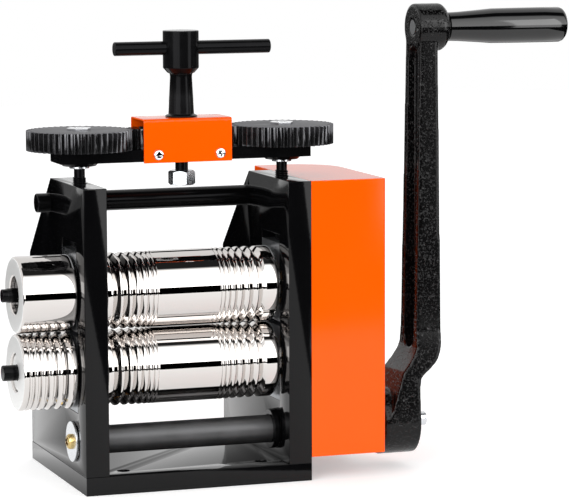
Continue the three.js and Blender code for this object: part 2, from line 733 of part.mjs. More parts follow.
// The gear cover, a shell open below with a rim against the side plate, and its two posts
function buildCover() {
  const shell = (inset, foot) => {
    const shape = new THREE.Shape();
    const x0 = outerX + inset;
    const x1 = coverX - inset;
    const y0 = frontY + inset;
    const y1 = coverRear - inset;
    const corner = coverCorner - inset;
    const nose = Math.max(2 - inset, 0.4);
    shape.moveTo(x0, y0);
    shape.lineTo(x1 - nose, y0);
    shape.absarc(x1 - nose, y0 + nose, nose, -Math.PI / 2, 0, false);
    shape.lineTo(x1, y1 - corner);
    shape.absarc(x1 - corner, y1 - corner, corner, 0, Math.PI / 2, false);
    shape.lineTo(x0, y1);
    shape.closePath();
    return alongZ(shape, foot, millHeight - inset, 6);
  };
  const slope = (rearY - frontY - plateTopDepth) / (millHeight - slopeFoot);
  const doorTop = millHeight - coverLip;
  const doorRear = coverRear - coverLip;
  const slopeAt = (z) => frontY + plateTopDepth + (millHeight - z) * slope - coverLip * 1.5;
  const turnZAt = doorTop - (doorRear - slopeAt(doorTop)) / slope;
  const door = outline([
    [frontY + coverLip, coverFoot - 1], [doorRear, coverFoot - 1],
    [doorRear, turnZAt], [slopeAt(doorTop), doorTop], [frontY + coverLip, doorTop]]);
  add('gear_cover', cut(shell(0, coverFoot), shell(coverWall, coverFoot - 1),
    alongX(door, outerX - 1, outerX + coverWall + 1),
    rodX(coverX - 5, coverX + 1, shaftRadius + 1, shaftY, shaftZ)), orangePaint);
  const posts = [
    ['upper', upperPostY, millHeight - upperPostDrop],
    ['lower', lowerPostY, coverFoot + lowerPostRise],
  ];
  for (const [name, y, z] of posts) {
    add(`cover_post_${name}`, rodX(outerX + 0.1, coverX - coverWall - 0.1, postRadius, y, z, 12),
      zincSteel);
  }
}

// Screws, gears and tee handle on the carrier bar
function buildAdjuster() {
  const barEnd = screwX + carrierOverhang;
  const bar = block(-barEnd, barEnd, axisY - carrierHalfWidth, axisY + carrierHalfWidth,
    carrierFoot, carrierTop);
  const boss = (x) => turnZ([
    [carrierFoot - carrierBoss, 0], [carrierFoot - carrierBoss, carrierBossRadius - 2],
    [carrierFoot, carrierBossRadius], [carrierFoot + 1, carrierBossRadius],
    [carrierFoot + 1, 0]], x, axisY);
  const hole = (x, radius) => rodZ(carrierFoot - 5, carrierTop + 1, radius, x, axisY);
  const idlerPost = (x) => rodZ(carrierTop - 1, topGearTop + 1, 4, x, axisY, 16);
  add('carrier_bar', cut(
    join(bar, boss(-screwX), boss(screwX), idlerPost(-idlerX), idlerPost(idlerX)),
    hole(-screwX, screwNeckRadius + runGap), hole(screwX, screwNeckRadius + runGap),
    hole(0, spindleRadius + runGap)), blackSteel);

  const outerHalf = carrierHalfWidth + seatGap + boxWall;
  const channel = (inset, foot) => {
    const shape = new THREE.Shape();
    const half = outerHalf - inset;
    const top = boxTop - inset;
    const radius = Math.max(boxRadius - inset, 0.3);
    shape.moveTo(axisY - half, foot);
    shape.lineTo(axisY - half, top - radius);
    shape.absarc(axisY - half + radius, top - radius, radius, Math.PI, Math.PI / 2, true);
    shape.lineTo(axisY + half - radius, top);
    shape.absarc(axisY + half - radius, top - radius, radius, Math.PI / 2, 0, true);
    shape.lineTo(axisY + half, foot);
    shape.closePath();
    return shape;
  };
  const boxFoot = carrierFoot - 0.8;
  add('pinion_box', cut(
    alongX(channel(0, boxFoot), -boxLength / 2, boxLength / 2, 4),
    alongX(channel(boxWall, boxFoot - 1), -boxLength / 2 - 1, boxLength / 2 + 1, 4),
    rodZ(topGearTop + 2, boxTop + 1, 8.5, 0, axisY)), orangePaint);

  const topGear = (teeth, turn, bore) => alongZ(withBore(gearOutline({
    teeth, size: topModule, turn, slack: 0.25, flankSteps: 1, root: 1.15 }), bore),
  topGearFoot, topGearTop);
  const halfTooth = Math.PI / topPinionTeeth;
  add('centre_pinion', topGear(topPinionTeeth, 0, spindleRadius + seatGap)
    .translate(0, axisY, 0), blackSteel);
  for (const side of [-1, 1]) {
    const name = side < 0 ? 'left' : 'right';
    add(`idler_pinion_${name}`, topGear(topPinionTeeth, halfTooth, 4 + runGap)
      .translate(side * idlerX, axisY, 0), blackSteel);
    add(`screw_gear_${name}`, topGear(screwGearTeeth, side < 0 ? 0 : Math.PI,
      screwNeckRadius + seatGap)
      .translate(side * screwX, axisY, 0), blackSteel);
    const washerTop = carrierFoot - carrierBoss - faceGap;
    add(`pressure_screw_${name}`, turnZ([
      [upperBlockTop + faceGap, 0], [upperBlockTop + faceGap, screwRadius - 1],
      [upperBlockTop + faceGap + 1, screwRadius], [millHeight + screwThreadAbove, screwRadius],
      [millHeight + screwThreadAbove, screwNeckRadius], [washerTop - 1.3, screwNeckRadius],
      [washerTop - 1.3, screwWasherRadius], [washerTop, screwWasherRadius],
      [washerTop, screwNeckRadius], [topGearTop + 1.2, screwNeckRadius],
      [topGearTop + 1.2, 0]], side * screwX, axisY), blackSteel);
    add(`gear_nut_${name}`, alongZ(withBore(hexagon(13), screwNeckRadius + seatGap),
      topGearTop + 0.05, topGearTop + 1.4).translate(side * screwX, axisY, 0), zincSteel);
  }

  const neckFoot = boxTop + faceGap;
  add('tee_spindle', cut(turnZ([
    [spindleNutTop - spindleNutHeight + 1, 0],
    [spindleNutTop - spindleNutHeight + 1, spindleRadius],
    [topGearTop + 0.3, spindleRadius], [topGearTop + 0.3, 7.7], [neckFoot, 7.7],
    [neckFoot, 10], [neckFoot + 0.8, 9.6], [neckFoot + 1.6, 7.8],
    [teeNeckTop - 2, 6.65], [teeNeckTop - 0.6, 6.9], [teeNeckTop, 8.2],
    [teeHeadFoot, teeHeadRadius], [teeHeadTop - 0.6, teeHeadRadius],
    [teeHeadTop, teeHeadRadius - 0.6], [teeHeadTop, 0]], 0, axisY),
  rodX(-20, 20, teeBarRadius + seatGap, axisY, teeBarZ)), blackSteel);
  add('tee_bar', turnX([
    [teeBarLeft, 0], [teeBarLeft, teeBarRadius - 0.6], [teeBarLeft + 0.6, teeBarRadius],
    [teeBarRight - 0.6, teeBarRadius], [teeBarRight, teeBarRadius - 0.6], [teeBarRight, 0]],
  axisY, teeBarZ), blackSteel);
  add('spindle_nut', alongZ(withBore(hexagon(14.4, 0.59), spindleRadius + seatGap),
    spindleNutTop - spindleNutHeight, spindleNutTop).translate(0, axisY, 0), zincSteel);
}

buildFrame();
buildBlocks();
buildRolls();
buildShaft();
buildCrank();
buildCover();
buildAdjuster();

export default mill;
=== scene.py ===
"""Jewellers rolling mill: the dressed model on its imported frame.

Shapes are worked out in millimetres, as in the part's source, and made metres when a piece
is finished. X runs along the rolls towards the crank, the front faces -Y, Z is up.
"""

import math

import bmesh
import bpy
from mathutils import Matrix, Vector


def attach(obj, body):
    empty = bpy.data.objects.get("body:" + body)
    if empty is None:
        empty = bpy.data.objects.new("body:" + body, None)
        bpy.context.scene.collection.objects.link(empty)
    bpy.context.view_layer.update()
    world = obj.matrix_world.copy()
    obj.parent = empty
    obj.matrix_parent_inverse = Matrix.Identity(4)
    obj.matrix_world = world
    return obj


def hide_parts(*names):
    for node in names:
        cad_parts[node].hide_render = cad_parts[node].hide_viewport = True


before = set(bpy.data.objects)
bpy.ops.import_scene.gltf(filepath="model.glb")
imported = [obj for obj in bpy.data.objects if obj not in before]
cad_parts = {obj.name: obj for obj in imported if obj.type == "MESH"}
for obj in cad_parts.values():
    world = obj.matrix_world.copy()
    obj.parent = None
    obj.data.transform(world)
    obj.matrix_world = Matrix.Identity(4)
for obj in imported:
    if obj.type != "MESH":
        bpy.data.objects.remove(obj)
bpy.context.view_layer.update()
scene = bpy.context.scene

MM = 0.001

# Frame, in millimetres
PLATE_INNER = 57.0
PLATE_OUTER = 71.5
MILL_TOP = 184.5
FRONT = -65.0
REAR = 65.0
SLOPE_FOOT = 132.0
PLATE_TOP_DEPTH = 76.0
AXIS_Y = -30.8
TIE_AT = (14.0, 169.0)
TIE_RADIUS = 6.35
TIE_HEAD = 5.9

# Rolls
ROLL_RADIUS = 23.3
LOWER_Z = 71.8
UPPER_Z = 118.8
ROLL_LENGTH = 110.0
PLAIN_FROM = -21.8
PLAIN_TO = 17.6
GROOVES = 7
GROOVE_FIRST = 0.9
GROOVE_STEP = 0.7
GROOVE_LAND = 1.3
JOURNAL = 11.0
STUB = 9.0
GEAR_SEAT = 8.0
EXTENSION_START = -72.5
EXTENSION_END = -106.0
RECESS_FLOOR = -98.0
RECESS_RADIUS = 11.5
HALF_ROUNDS = 6
HALF_ROUND_FIRST = 2.0
HALF_ROUND_STEP = 0.72
HALF_ROUND_LAND = 1.0
HALF_ROUND_INSET = 3.2
HALF_ROUND_SWEEP = 66

# Drive
SHAFT_Y = -36.3
SHAFT_Z = 28.649
SHAFT_RADIUS = 8.6

# Cover
COVER_X = 120.0
COVER_REAR = 43.0
COVER_FOOT = 14.5
COVER_WALL = 1.5

# Crank
HANDLE_Z = SHAFT_Z + 246.0
HUB_RADIUS = 20.4
HUB_START = 122.0
HUB_END = 147.3
ARM_HALF = 12.4
ARM_FOOT = 145.9
ARM_INNER_TOP = 149.1
ARM_OUTER_FOOT = 162.7
ARM_OUTER_TOP = 160.6
BEND_LOW = 30.0
BEND_SHOULDER = 57.4
BEND_HIGH = 78.0
BOSS_RADIUS = 14.7
BOSS_END = 166.0
BOSS_TIP = 170.6
CHANNEL_FLOOR = 154.0
CHANNEL_HALF = 8.0
GRIP_START = 170.9
GRIP_END = 250.3
GRIP_THIN = 8.8
GRIP_THICK = 11.0
AXLE = 4.5

# Screw adjustment
SCREW_X = 64.375
IDLER_X = 22.5
CARRIER_FOOT = 197.5
CARRIER_TOP = 204.8
CARRIER_HALF = 12.7
CARRIER_END = SCREW_X + 14.5
GEAR_TOP = 217.0
BOX_TOP = 223.2
BOX_HALF = 27.8
BOX_SIDE = 14.02
TEE_Z = 265.0
TEE_RADIUS = 4.2
TEE_LEFT = -42.0
TEE_RIGHT = 56.5
THREAD_PITCH = 1.25

# Studio, in metres and watts
GLOSS_GAIN = 2.6
LAMP_DISTANCE = 1.25
LAMP_MIDDLE = 0.52
LAMP_HEIGHT = 1.0


# Nodes and colours
def linear(colour):
    """An sRGB hex colour as linear red, green, blue and alpha."""
    parts = [int(colour[i:i + 2], 16) / 255 for i in (1, 3, 5)]
    return [c / 12.92 if c <= 0.04045 else ((c + 0.055) / 1.055) ** 2.4 for c in parts] + [1.0]


def node(tree, kind, links=None, **settings):
    """Adds a node, sets its settings, and sets or links its inputs by name or number."""
    made = tree.nodes.new(kind)
    for name, value in settings.items():
        setattr(made, name, value)
    for socket, value in (links or {}).items():
        if isinstance(value, bpy.types.NodeSocket):
            tree.links.new(value, made.inputs[socket])
        else:
            made.inputs[socket].default_value = value
    return made


# Shapes
def mesh_object(name, points, faces):
    mesh = bpy.data.meshes.new(name)
    mesh.from_pydata([tuple(p) for p in points], [], faces)
    shape = bmesh.new()
    shape.from_mesh(mesh)
    bmesh.ops.remove_doubles(shape, verts=shape.verts, dist=1e-5)
    bmesh.ops.recalc_face_normals(shape, faces=shape.faces)
    shape.to_mesh(mesh)
    shape.free()
    made = bpy.data.objects.new(name, mesh)
    scene.collection.objects.link(made)
    return made


def eased(profile, radius, steps=4, hold=0.12):
    """The profile with its corners rounded, and a point held just past each rounding."""
    closed = profile[0] == profile[-1]
    points = [Vector(p) for p in (profile[:-1] if closed else profile)]
    result = []
    count = len(points)
    for i, here in enumerate(points):
        if not closed and i in (0, count - 1):
            result.append(tuple(here))
            continue
        before = points[i - 1] - here
        after = points[(i + 1) % count] - here
        turn = math.pi - before.angle(after)
        if turn < 0.3:
            result.append(tuple(here))
            continue
        trim = min(radius * math.tan(turn / 2), 0.42 * before.length, 0.42 * after.length)
        start = here + before.normalized() * trim
        end = here + after.normalized() * trim
        slack = min(hold, 0.05 * before.length, 0.05 * after.length)
        result.append(tuple(start + before.normalized() * slack))
        for k in range(steps + 1):
            t = k / steps
            bow = (1 - t) ** 2 * start + 2 * t * (1 - t) * here + t * t * end
            result.append(tuple(bow))
        result.append(tuple(end + after.normalized() * slack))
    if closed:
        result.append(result[0])
    return result


def turned(name, profile, at, axis="X", steps=96, ease=0.0):
    """A lathe form from [along, radius] pairs about an axis along X through (y, z), or along Z
    through (x, y)."""
    if ease:
        profile = eased(profile, ease)
    points = []
    rings = []
    for along, radius in profile:
        ring = []
        for k in range(steps if radius > 1e-6 else 1):
            angle = 2 * math.pi * k / steps
            u = at[0] + radius * math.cos(angle)
            v = at[1] + radius * math.sin(angle)
            ring.append(len(points))
            points.append((along, u, v) if axis == "X" else (u, v, along))
        rings.append(ring)
    faces = []
    for a, b in zip(rings, rings[1:]):
        for k in range(steps):
            j = (k + 1) % steps
            corners = [a[k % len(a)], a[j % len(a)], b[j % len(b)], b[k % len(b)]]
            corners = list(dict.fromkeys(corners))
            if len(corners) > 2:
                faces.append(corners)
    return mesh_object(name, points, faces)


def prism(name, outline, axis, start, end):
    """An outline drawn out along X from (y, z), along Y from (x, z) or along Z from (x, y)."""
    place = {
        "X": lambda u, v, w: (w, u, v),
        "Y": lambda u, v, w: (u, w, v),
        "Z": lambda u, v, w: (u, v, w),
    }[axis]
    count = len(outline)
    points = [place(u, v, w) for w in (start, end) for u, v in outline]
    faces = [list(range(count)), list(range(count, 2 * count))]
    for k in range(count):
        j = (k + 1) % count
        faces.append([k, j, count + j, count + k])
    return mesh_object(name, points, faces)


def block(name, x0, x1, y0, y1, z0, z1):
    return prism(name, [(x0, y0), (x1, y0), (x1, y1), (x0, y1)], "Z", z0, z1)


def rod(name, start, end, radius, at, axis="X", steps=64):
    profile = [(start, 0), (start, radius), (end, radius), (end, 0)]
    return turned(name, profile, at, axis, steps)


def hex_socket(at, radius, start, end):
    """The six sided hole of a cap screw that lies along X."""
    outline = [(at[0] + radius * math.cos(k * math.pi / 3),
                at[1] + radius * math.sin(k * math.pi / 3)) for k in range(6)]
    return prism("socket", outline, "X", start, end)


def arc(u, v, radius, start, end, steps):
    """Points along a circle's arc, its angles in degrees."""
    result = []
    for k in range(steps + 1):
        angle = math.radians(start + (end - start) * k / steps)
        result.append((u + radius * math.cos(angle), v + radius * math.sin(angle)))
    return result


def bow(start, pull, end, steps):
    """Points along a quadratic curve, its first point left out."""
    result = []
    for k in range(1, steps + 1):
        t = k / steps
        result.append(tuple(
            (1 - t) ** 2 * a + 2 * t * (1 - t) * b + t * t * c
            for a, b, c in zip(start, pull, end)))
    return result


def plain_mesh(obj):
    """The object's mesh becomes what its modifiers make of it."""
    graph = bpy.context.evaluated_depsgraph_get()
    mesh = bpy.data.meshes.new_from_object(obj.evaluated_get(graph))
    obj.modifiers.clear()
    obj.data = mesh
    return obj


def carve(obj, operation, *tools):
    """Adds, takes away or keeps what is common with each tool, and removes the tools."""
    for tool in tools:
        step = obj.modifiers.new("carve", "BOOLEAN")
        step.operation = operation
        step.solver = "EXACT"
        step.object = tool
    plain_mesh(obj)
    for tool in tools:
        bpy.data.objects.remove(tool)
    return obj


def copy_of(node_name):
    """A merged copy of a CAD node, in millimetres."""
    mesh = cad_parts[node_name].data.copy()
    mesh.transform(Matrix.Scale(1 / MM, 4))
    mesh.materials.clear()
    shape = bmesh.new()
    shape.from_mesh(mesh)
    bmesh.ops.remove_doubles(shape, verts=shape.verts, dist=1e-3)
    bmesh.ops.dissolve_limit(
        shape, angle_limit=math.radians(0.6), verts=shape.verts, edges=shape.edges)
    shape.to_mesh(mesh)
    shape.free()
    made = bpy.data.objects.new(node_name + "_copy", mesh)
    scene.collection.objects.link(made)
    return made


def piece(name, obj, body, material, stands_for=(), edge=0.0, sharp=40, bevel_over=35):
    """Finishes a form made in millimetres: eased edges, shading, metres, finish and body."""
    if edge:
        ease = obj.modifiers.new("edge", "BEVEL")
        ease.width = edge
        ease.segments = 3
        ease.limit_method = "ANGLE"
        ease.angle_limit = math.radians(bevel_over)
        ease.harden_normals = True
        ease.use_clamp_overlap = True
        for polygon in obj.data.polygons:
            polygon.use_smooth = True
        plain_mesh(obj)
    else:
        shape = bmesh.new()
        shape.from_mesh(obj.data)
        for face in shape.faces:
            face.smooth = True
        for line in shape.edges:
            if len(line.link_faces) == 2:
                line.smooth = line.calc_face_angle(0) < math.radians(sharp)
        shape.to_mesh(obj.data)
        shape.free()
    obj.data.transform(Matrix.Scale(MM, 4))
    obj.name = name
    obj.data.name = name
    if not isinstance(material, (list, tuple)):
        material = [material]
    obj.data.materials.clear()
    for one in material:
        obj.data.materials.append(one)
    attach(obj, body)
    if stands_for:
        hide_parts(*stands_for)
    return obj


# Finishes
def finish(name):
    """A new material's tree, its Principled shader and object coordinates."""
    material = bpy.data.materials.new(name)
    material.use_nodes = True
    tree = material.node_tree
    shader = next(n for n in tree.nodes if n.type == "BSDF_PRINCIPLED")
    place = node(tree, "ShaderNodeTexCoord").outputs["Object"]
    return material, tree, shader, place


def gloss_enamel(name, colour, grey, roughness):
    """Stoved gloss paint on milled plate: a faint orange peel of 2 mm, and a haze of dust."""
    material, tree, shader, place = finish(name)
    peel = node(tree, "ShaderNodeTexNoise", {"Vector": place, "Scale": 420.0, "Detail": 2.0})
    haze = node(tree, "ShaderNodeTexNoise", {"Vector": place, "Scale": 26.0, "Detail": 5.0})
    shade = node(tree, "ShaderNodeMix", {0: haze.outputs["Fac"], 6: linear(colour),
                                         7: linear(grey)}, data_type="RGBA")
    rough = node(tree, "ShaderNodeMapRange", {
        "Value": haze.outputs["Fac"], "From Min": 0.3, "From Max": 0.7,
        "To Min": roughness * 0.85, "To Max": roughness * 1.2})
    bump = node(tree, "ShaderNodeBump", {"Height": peel.outputs["Fac"], "Strength": 0.05,
                                         "Distance": 0.0002})
    tree.links.new(shade.outputs[2], shader.inputs["Base Color"])
    tree.links.new(rough.outputs[0], shader.inputs["Roughness"])
    tree.links.new(bump.outputs[0], shader.inputs["Normal"])
    shader.inputs["IOR"].default_value = 1.31
    return material


def ground_steel(name, colour, low, high, strength):
    """Hardened steel, cylindrically ground and polished: fine rings about X, 0.3 mm apart
    where the real ones are finer than the picture shows."""
    material, tree, shader, place = finish(name)
    along = node(tree, "ShaderNodeMapping", {"Vector": place, "Scale": (3300, 12, 12)})
    rings = node(tree, "ShaderNodeTexNoise", {"Vector": along.outputs[0], "Scale": 1.0,
                                              "Detail": 3.0})
    stain = node(tree, "ShaderNodeTexNoise", {"Vector": place, "Scale": 60.0, "Detail": 4.0})
    rough = node(tree, "ShaderNodeMapRange", {
        "Value": stain.outputs["Fac"], "From Min": 0.3, "From Max": 0.75,
        "To Min": low, "To Max": high})
    bump = node(tree, "ShaderNodeBump", {"Height": rings.outputs["Fac"], "Strength": strength,
                                         "Distance": 0.00002})
    tree.links.new(rough.outputs[0], shader.inputs["Roughness"])
    tree.links.new(bump.outputs[0], shader.inputs["Normal"])
    shader.inputs["Base Color"].default_value = linear(colour)
    shader.inputs["Metallic"].default_value = 1.0
    return material


def faced_steel(name, centre_z):
    """A roll's end, faced in a lathe: rings about its centre that scatter the light."""
    material, tree, shader, place = finish(name)
    centred = node(tree, "ShaderNodeMapping", {
        "Vector": place, "Location": (0, -AXIS_Y * MM, -centre_z * MM)})
    flat = node(tree, "ShaderNodeVectorMath", {0: centred.outputs[0], 1: (0, 1, 1)},
                operation="MULTIPLY")
    away = node(tree, "ShaderNodeVectorMath", {0: flat.outputs[0]}, operation="LENGTH")
    rings = node(tree, "ShaderNodeTexNoise", {"W": away.outputs["Value"], "Scale": 2600.0,
                                              "Detail": 2.0}, noise_dimensions="1D")
    rough = node(tree, "ShaderNodeMapRange", {
        "Value": rings.outputs["Fac"], "To Min": 0.42, "To Max": 0.54})
    bump = node(tree, "ShaderNodeBump", {"Height": rings.outputs["Fac"], "Strength": 0.25,
                                         "Distance": 0.00003})
    tree.links.new(rough.outputs[0], shader.inputs["Roughness"])
    tree.links.new(bump.outputs[0], shader.inputs["Normal"])
    shader.inputs["Base Color"].default_value = linear("#efefee")
    shader.inputs["Metallic"].default_value = 0.85
    return material


def oxide_steel(name, colour, worn, low, high, metal=0.9):
    """Machined steel with black oxide: dark, oily, and greyer where tools marked it."""
    material, tree, shader, place = finish(name)
    blotch = node(tree, "ShaderNodeTexNoise", {"Vector": place, "Scale": 75.0, "Detail": 6.0,
                                               "Roughness": 0.6})
    grain = node(tree, "ShaderNodeTexNoise", {"Vector": place, "Scale": 900.0, "Detail": 2.0})
    shade = node(tree, "ShaderNodeMix", {0: blotch.outputs["Fac"], 6: linear(colour),
                                         7: linear(worn)}, data_type="RGBA")
    rough = node(tree, "ShaderNodeMapRange", {
        "Value": blotch.outputs["Fac"], "From Min": 0.3, "From Max": 0.7,
        "To Min": low, "To Max": high})
    bump = node(tree, "ShaderNodeBump", {"Height": grain.outputs["Fac"], "Strength": 0.08,
                                         "Distance": 0.0001})
    tree.links.new(shade.outputs[2], shader.inputs["Base Color"])
    tree.links.new(rough.outputs[0], shader.inputs["Roughness"])
    tree.links.new(bump.outputs[0], shader.inputs["Normal"])
    shader.inputs["Metallic"].default_value = metal
    shader.inputs["Specular Tint"].default_value = linear("#707072")
    return material


def plated_steel(name, colour, pale, low, high):
    """Zinc or chrome plate: bright, with soft clouds where the bath left it uneven."""
    material, tree, shader, place = finish(name)
    cloud = node(tree, "ShaderNodeTexNoise", {"Vector": place, "Scale": 240.0, "Detail": 3.0})
    shade = node(tree, "ShaderNodeMix", {0: cloud.outputs["Fac"], 6: linear(colour),
                                         7: linear(pale)}, data_type="RGBA")
    rough = node(tree, "ShaderNodeMapRange", {
        "Value": cloud.outputs["Fac"], "From Min": 0.3, "From Max": 0.7,
        "To Min": low, "To Max": high})
    tree.links.new(shade.outputs[2], shader.inputs["Base Color"])
    tree.links.new(rough.outputs[0], shader.inputs["Roughness"])
    shader.inputs["Metallic"].default_value = 1.0
    return material


def cast_enamel(name):
    """Sand cast iron under gloss enamel: the sand's grain of about 1 mm shows through, and
    each grain's slope catches its own light."""
    material, tree, shader, place = finish(name)
    lumps = node(tree, "ShaderNodeTexNoise", {"Vector": place, "Scale": 820.0, "Detail": 2.0,
                                              "Roughness": 0.6})
    pits = node(tree, "ShaderNodeTexVoronoi", {"Vector": place, "Scale": 620.0,
                                               "Randomness": 1.0}, feature="SMOOTH_F1")
    grains = node(tree, "ShaderNodeMapRange", {
        "Value": lumps.outputs["Fac"], "From Min": 0.58, "From Max": 0.72})
    dents = node(tree, "ShaderNodeMapRange", {
        "Value": pits.outputs[0], "From Min": 0.62, "From Max": 0.85, "To Max": 0.6})
    height = node(tree, "ShaderNodeMath", {0: grains.outputs[0], 1: dents.outputs[0]},
                  operation="SUBTRACT")
    bump = node(tree, "ShaderNodeBump", {"Height": height.outputs[0], "Strength": 0.6,
                                         "Distance": 0.0006})
    shade = node(tree, "ShaderNodeMix", {0: lumps.outputs["Fac"], 6: linear("#030303"),
                                         7: linear("#0b0a0b")}, data_type="RGBA")
    tree.links.new(shade.outputs[2], shader.inputs["Base Color"])
    tree.links.new(bump.outputs[0], shader.inputs["Normal"])
    shader.inputs["Roughness"].default_value = 0.13
    shader.inputs["IOR"].default_value = 1.33
    return material


def gloss_plastic(name):
    """Injection moulded phenolic: deep black, glossy, with faint handling marks."""
    material, tree, shader, place = finish(name)
    marks = node(tree, "ShaderNodeTexNoise", {"Vector": place, "Scale": 90.0, "Detail": 4.0})
    rough = node(tree, "ShaderNodeMapRange", {
        "Value": marks.outputs["Fac"], "From Min": 0.35, "From Max": 0.7,
        "To Min": 0.06, "To Max": 0.11})
    tree.links.new(rough.outputs[0], shader.inputs["Roughness"])
    shader.inputs["Base Color"].default_value = linear("#050506")
    shader.inputs["IOR"].default_value = 1.55
    return material


black_enamel = gloss_enamel("black_stoved_enamel", "#060607", "#0a0a0b", 0.075)
orange_enamel = gloss_enamel("orange_powder_coat", "#ff5800", "#ff5b01", 0.09)
mirror_steel = ground_steel("mirror_ground_steel", "#d6d2cf", 0.018, 0.04, 0.05)
lower_end_steel = faced_steel("faced_steel_lower", LOWER_Z)
upper_end_steel = faced_steel("faced_steel_upper", UPPER_Z)
gear_oxide = oxide_steel("black_oxide_gear", "#3c3c3e", "#5a5a5c", 0.1, 0.17)
# A paler copy of the gears' black oxide for their upward faces: painted sheen on the tops
gear_top_sheen_steel = oxide_steel("gear_top_painted_sheen", "#a6a6a8", "#b4b4b6", 0.3, 0.4)
bar_oxide = oxide_steel("black_oxide_bar", "#080809", "#101011", 0.12, 0.2, 0.2)
shaft_oxide = oxide_steel("black_oxide_shaft", "#444445", "#626263", 0.36, 0.5, 0.8)
bright_zinc = plated_steel("bright_zinc_plate", "#c9ccd1", "#e4e6e8", 0.18, 0.28)
chrome_plate = plated_steel("chrome_plate", "#dfe1e4", "#f0f1f2", 0.06, 0.12)
yellow_chromate = plated_steel("yellow_chromate_plate", "#b9995a", "#d9c48c", 0.2, 0.32)
bush_bronze = plated_steel("bearing_bronze", "#a97c3a", "#c29650", 0.28, 0.42)
machined_steel = ground_steel("machined_steel", "#9a9da1", 0.24, 0.36, 0.2)
enamelled_casting = cast_enamel("enamelled_sand_casting")
grip_plastic = gloss_plastic("moulded_phenolic")


# Rule-made forms
def shape_tree(name, inputs):
    """A geometry tree with named number inputs and one geometry output."""
    tree = bpy.data.node_groups.new(name, "GeometryNodeTree")
    tree.interface.new_socket("Geometry", in_out="OUTPUT", socket_type="NodeSocketGeometry")
    for label, value in inputs.items():
        kind = "NodeSocketMaterial" if label == "Material" else (
            "NodeSocketInt" if isinstance(value, int) else (
                "NodeSocketObject" if label == "Form" else "NodeSocketFloat"))
        socket = tree.interface.new_socket(label, in_out="INPUT", socket_type=kind)
        if kind in ("NodeSocketInt", "NodeSocketFloat"):
            socket.default_value = value
    return tree, tree.nodes.new("NodeGroupInput"), tree.nodes.new("NodeGroupOutput")


def grown(name, tree, values, seed_points=()):
    """An object made by a geometry tree from its input values."""
    mesh = bpy.data.meshes.new(name)
    if seed_points:
        mesh.from_pydata([tuple(p) for p in seed_points], [], [])
    made = bpy.data.objects.new(name, mesh)
    scene.collection.objects.link(made)
    grow = made.modifiers.new("grow", "NODES")
    grow.node_group = tree
    for item in tree.interface.items_tree:
        if item.in_out == "INPUT" and item.name in values:
            grow[item.identifier] = values[item.name]
    return plain_mesh(made)


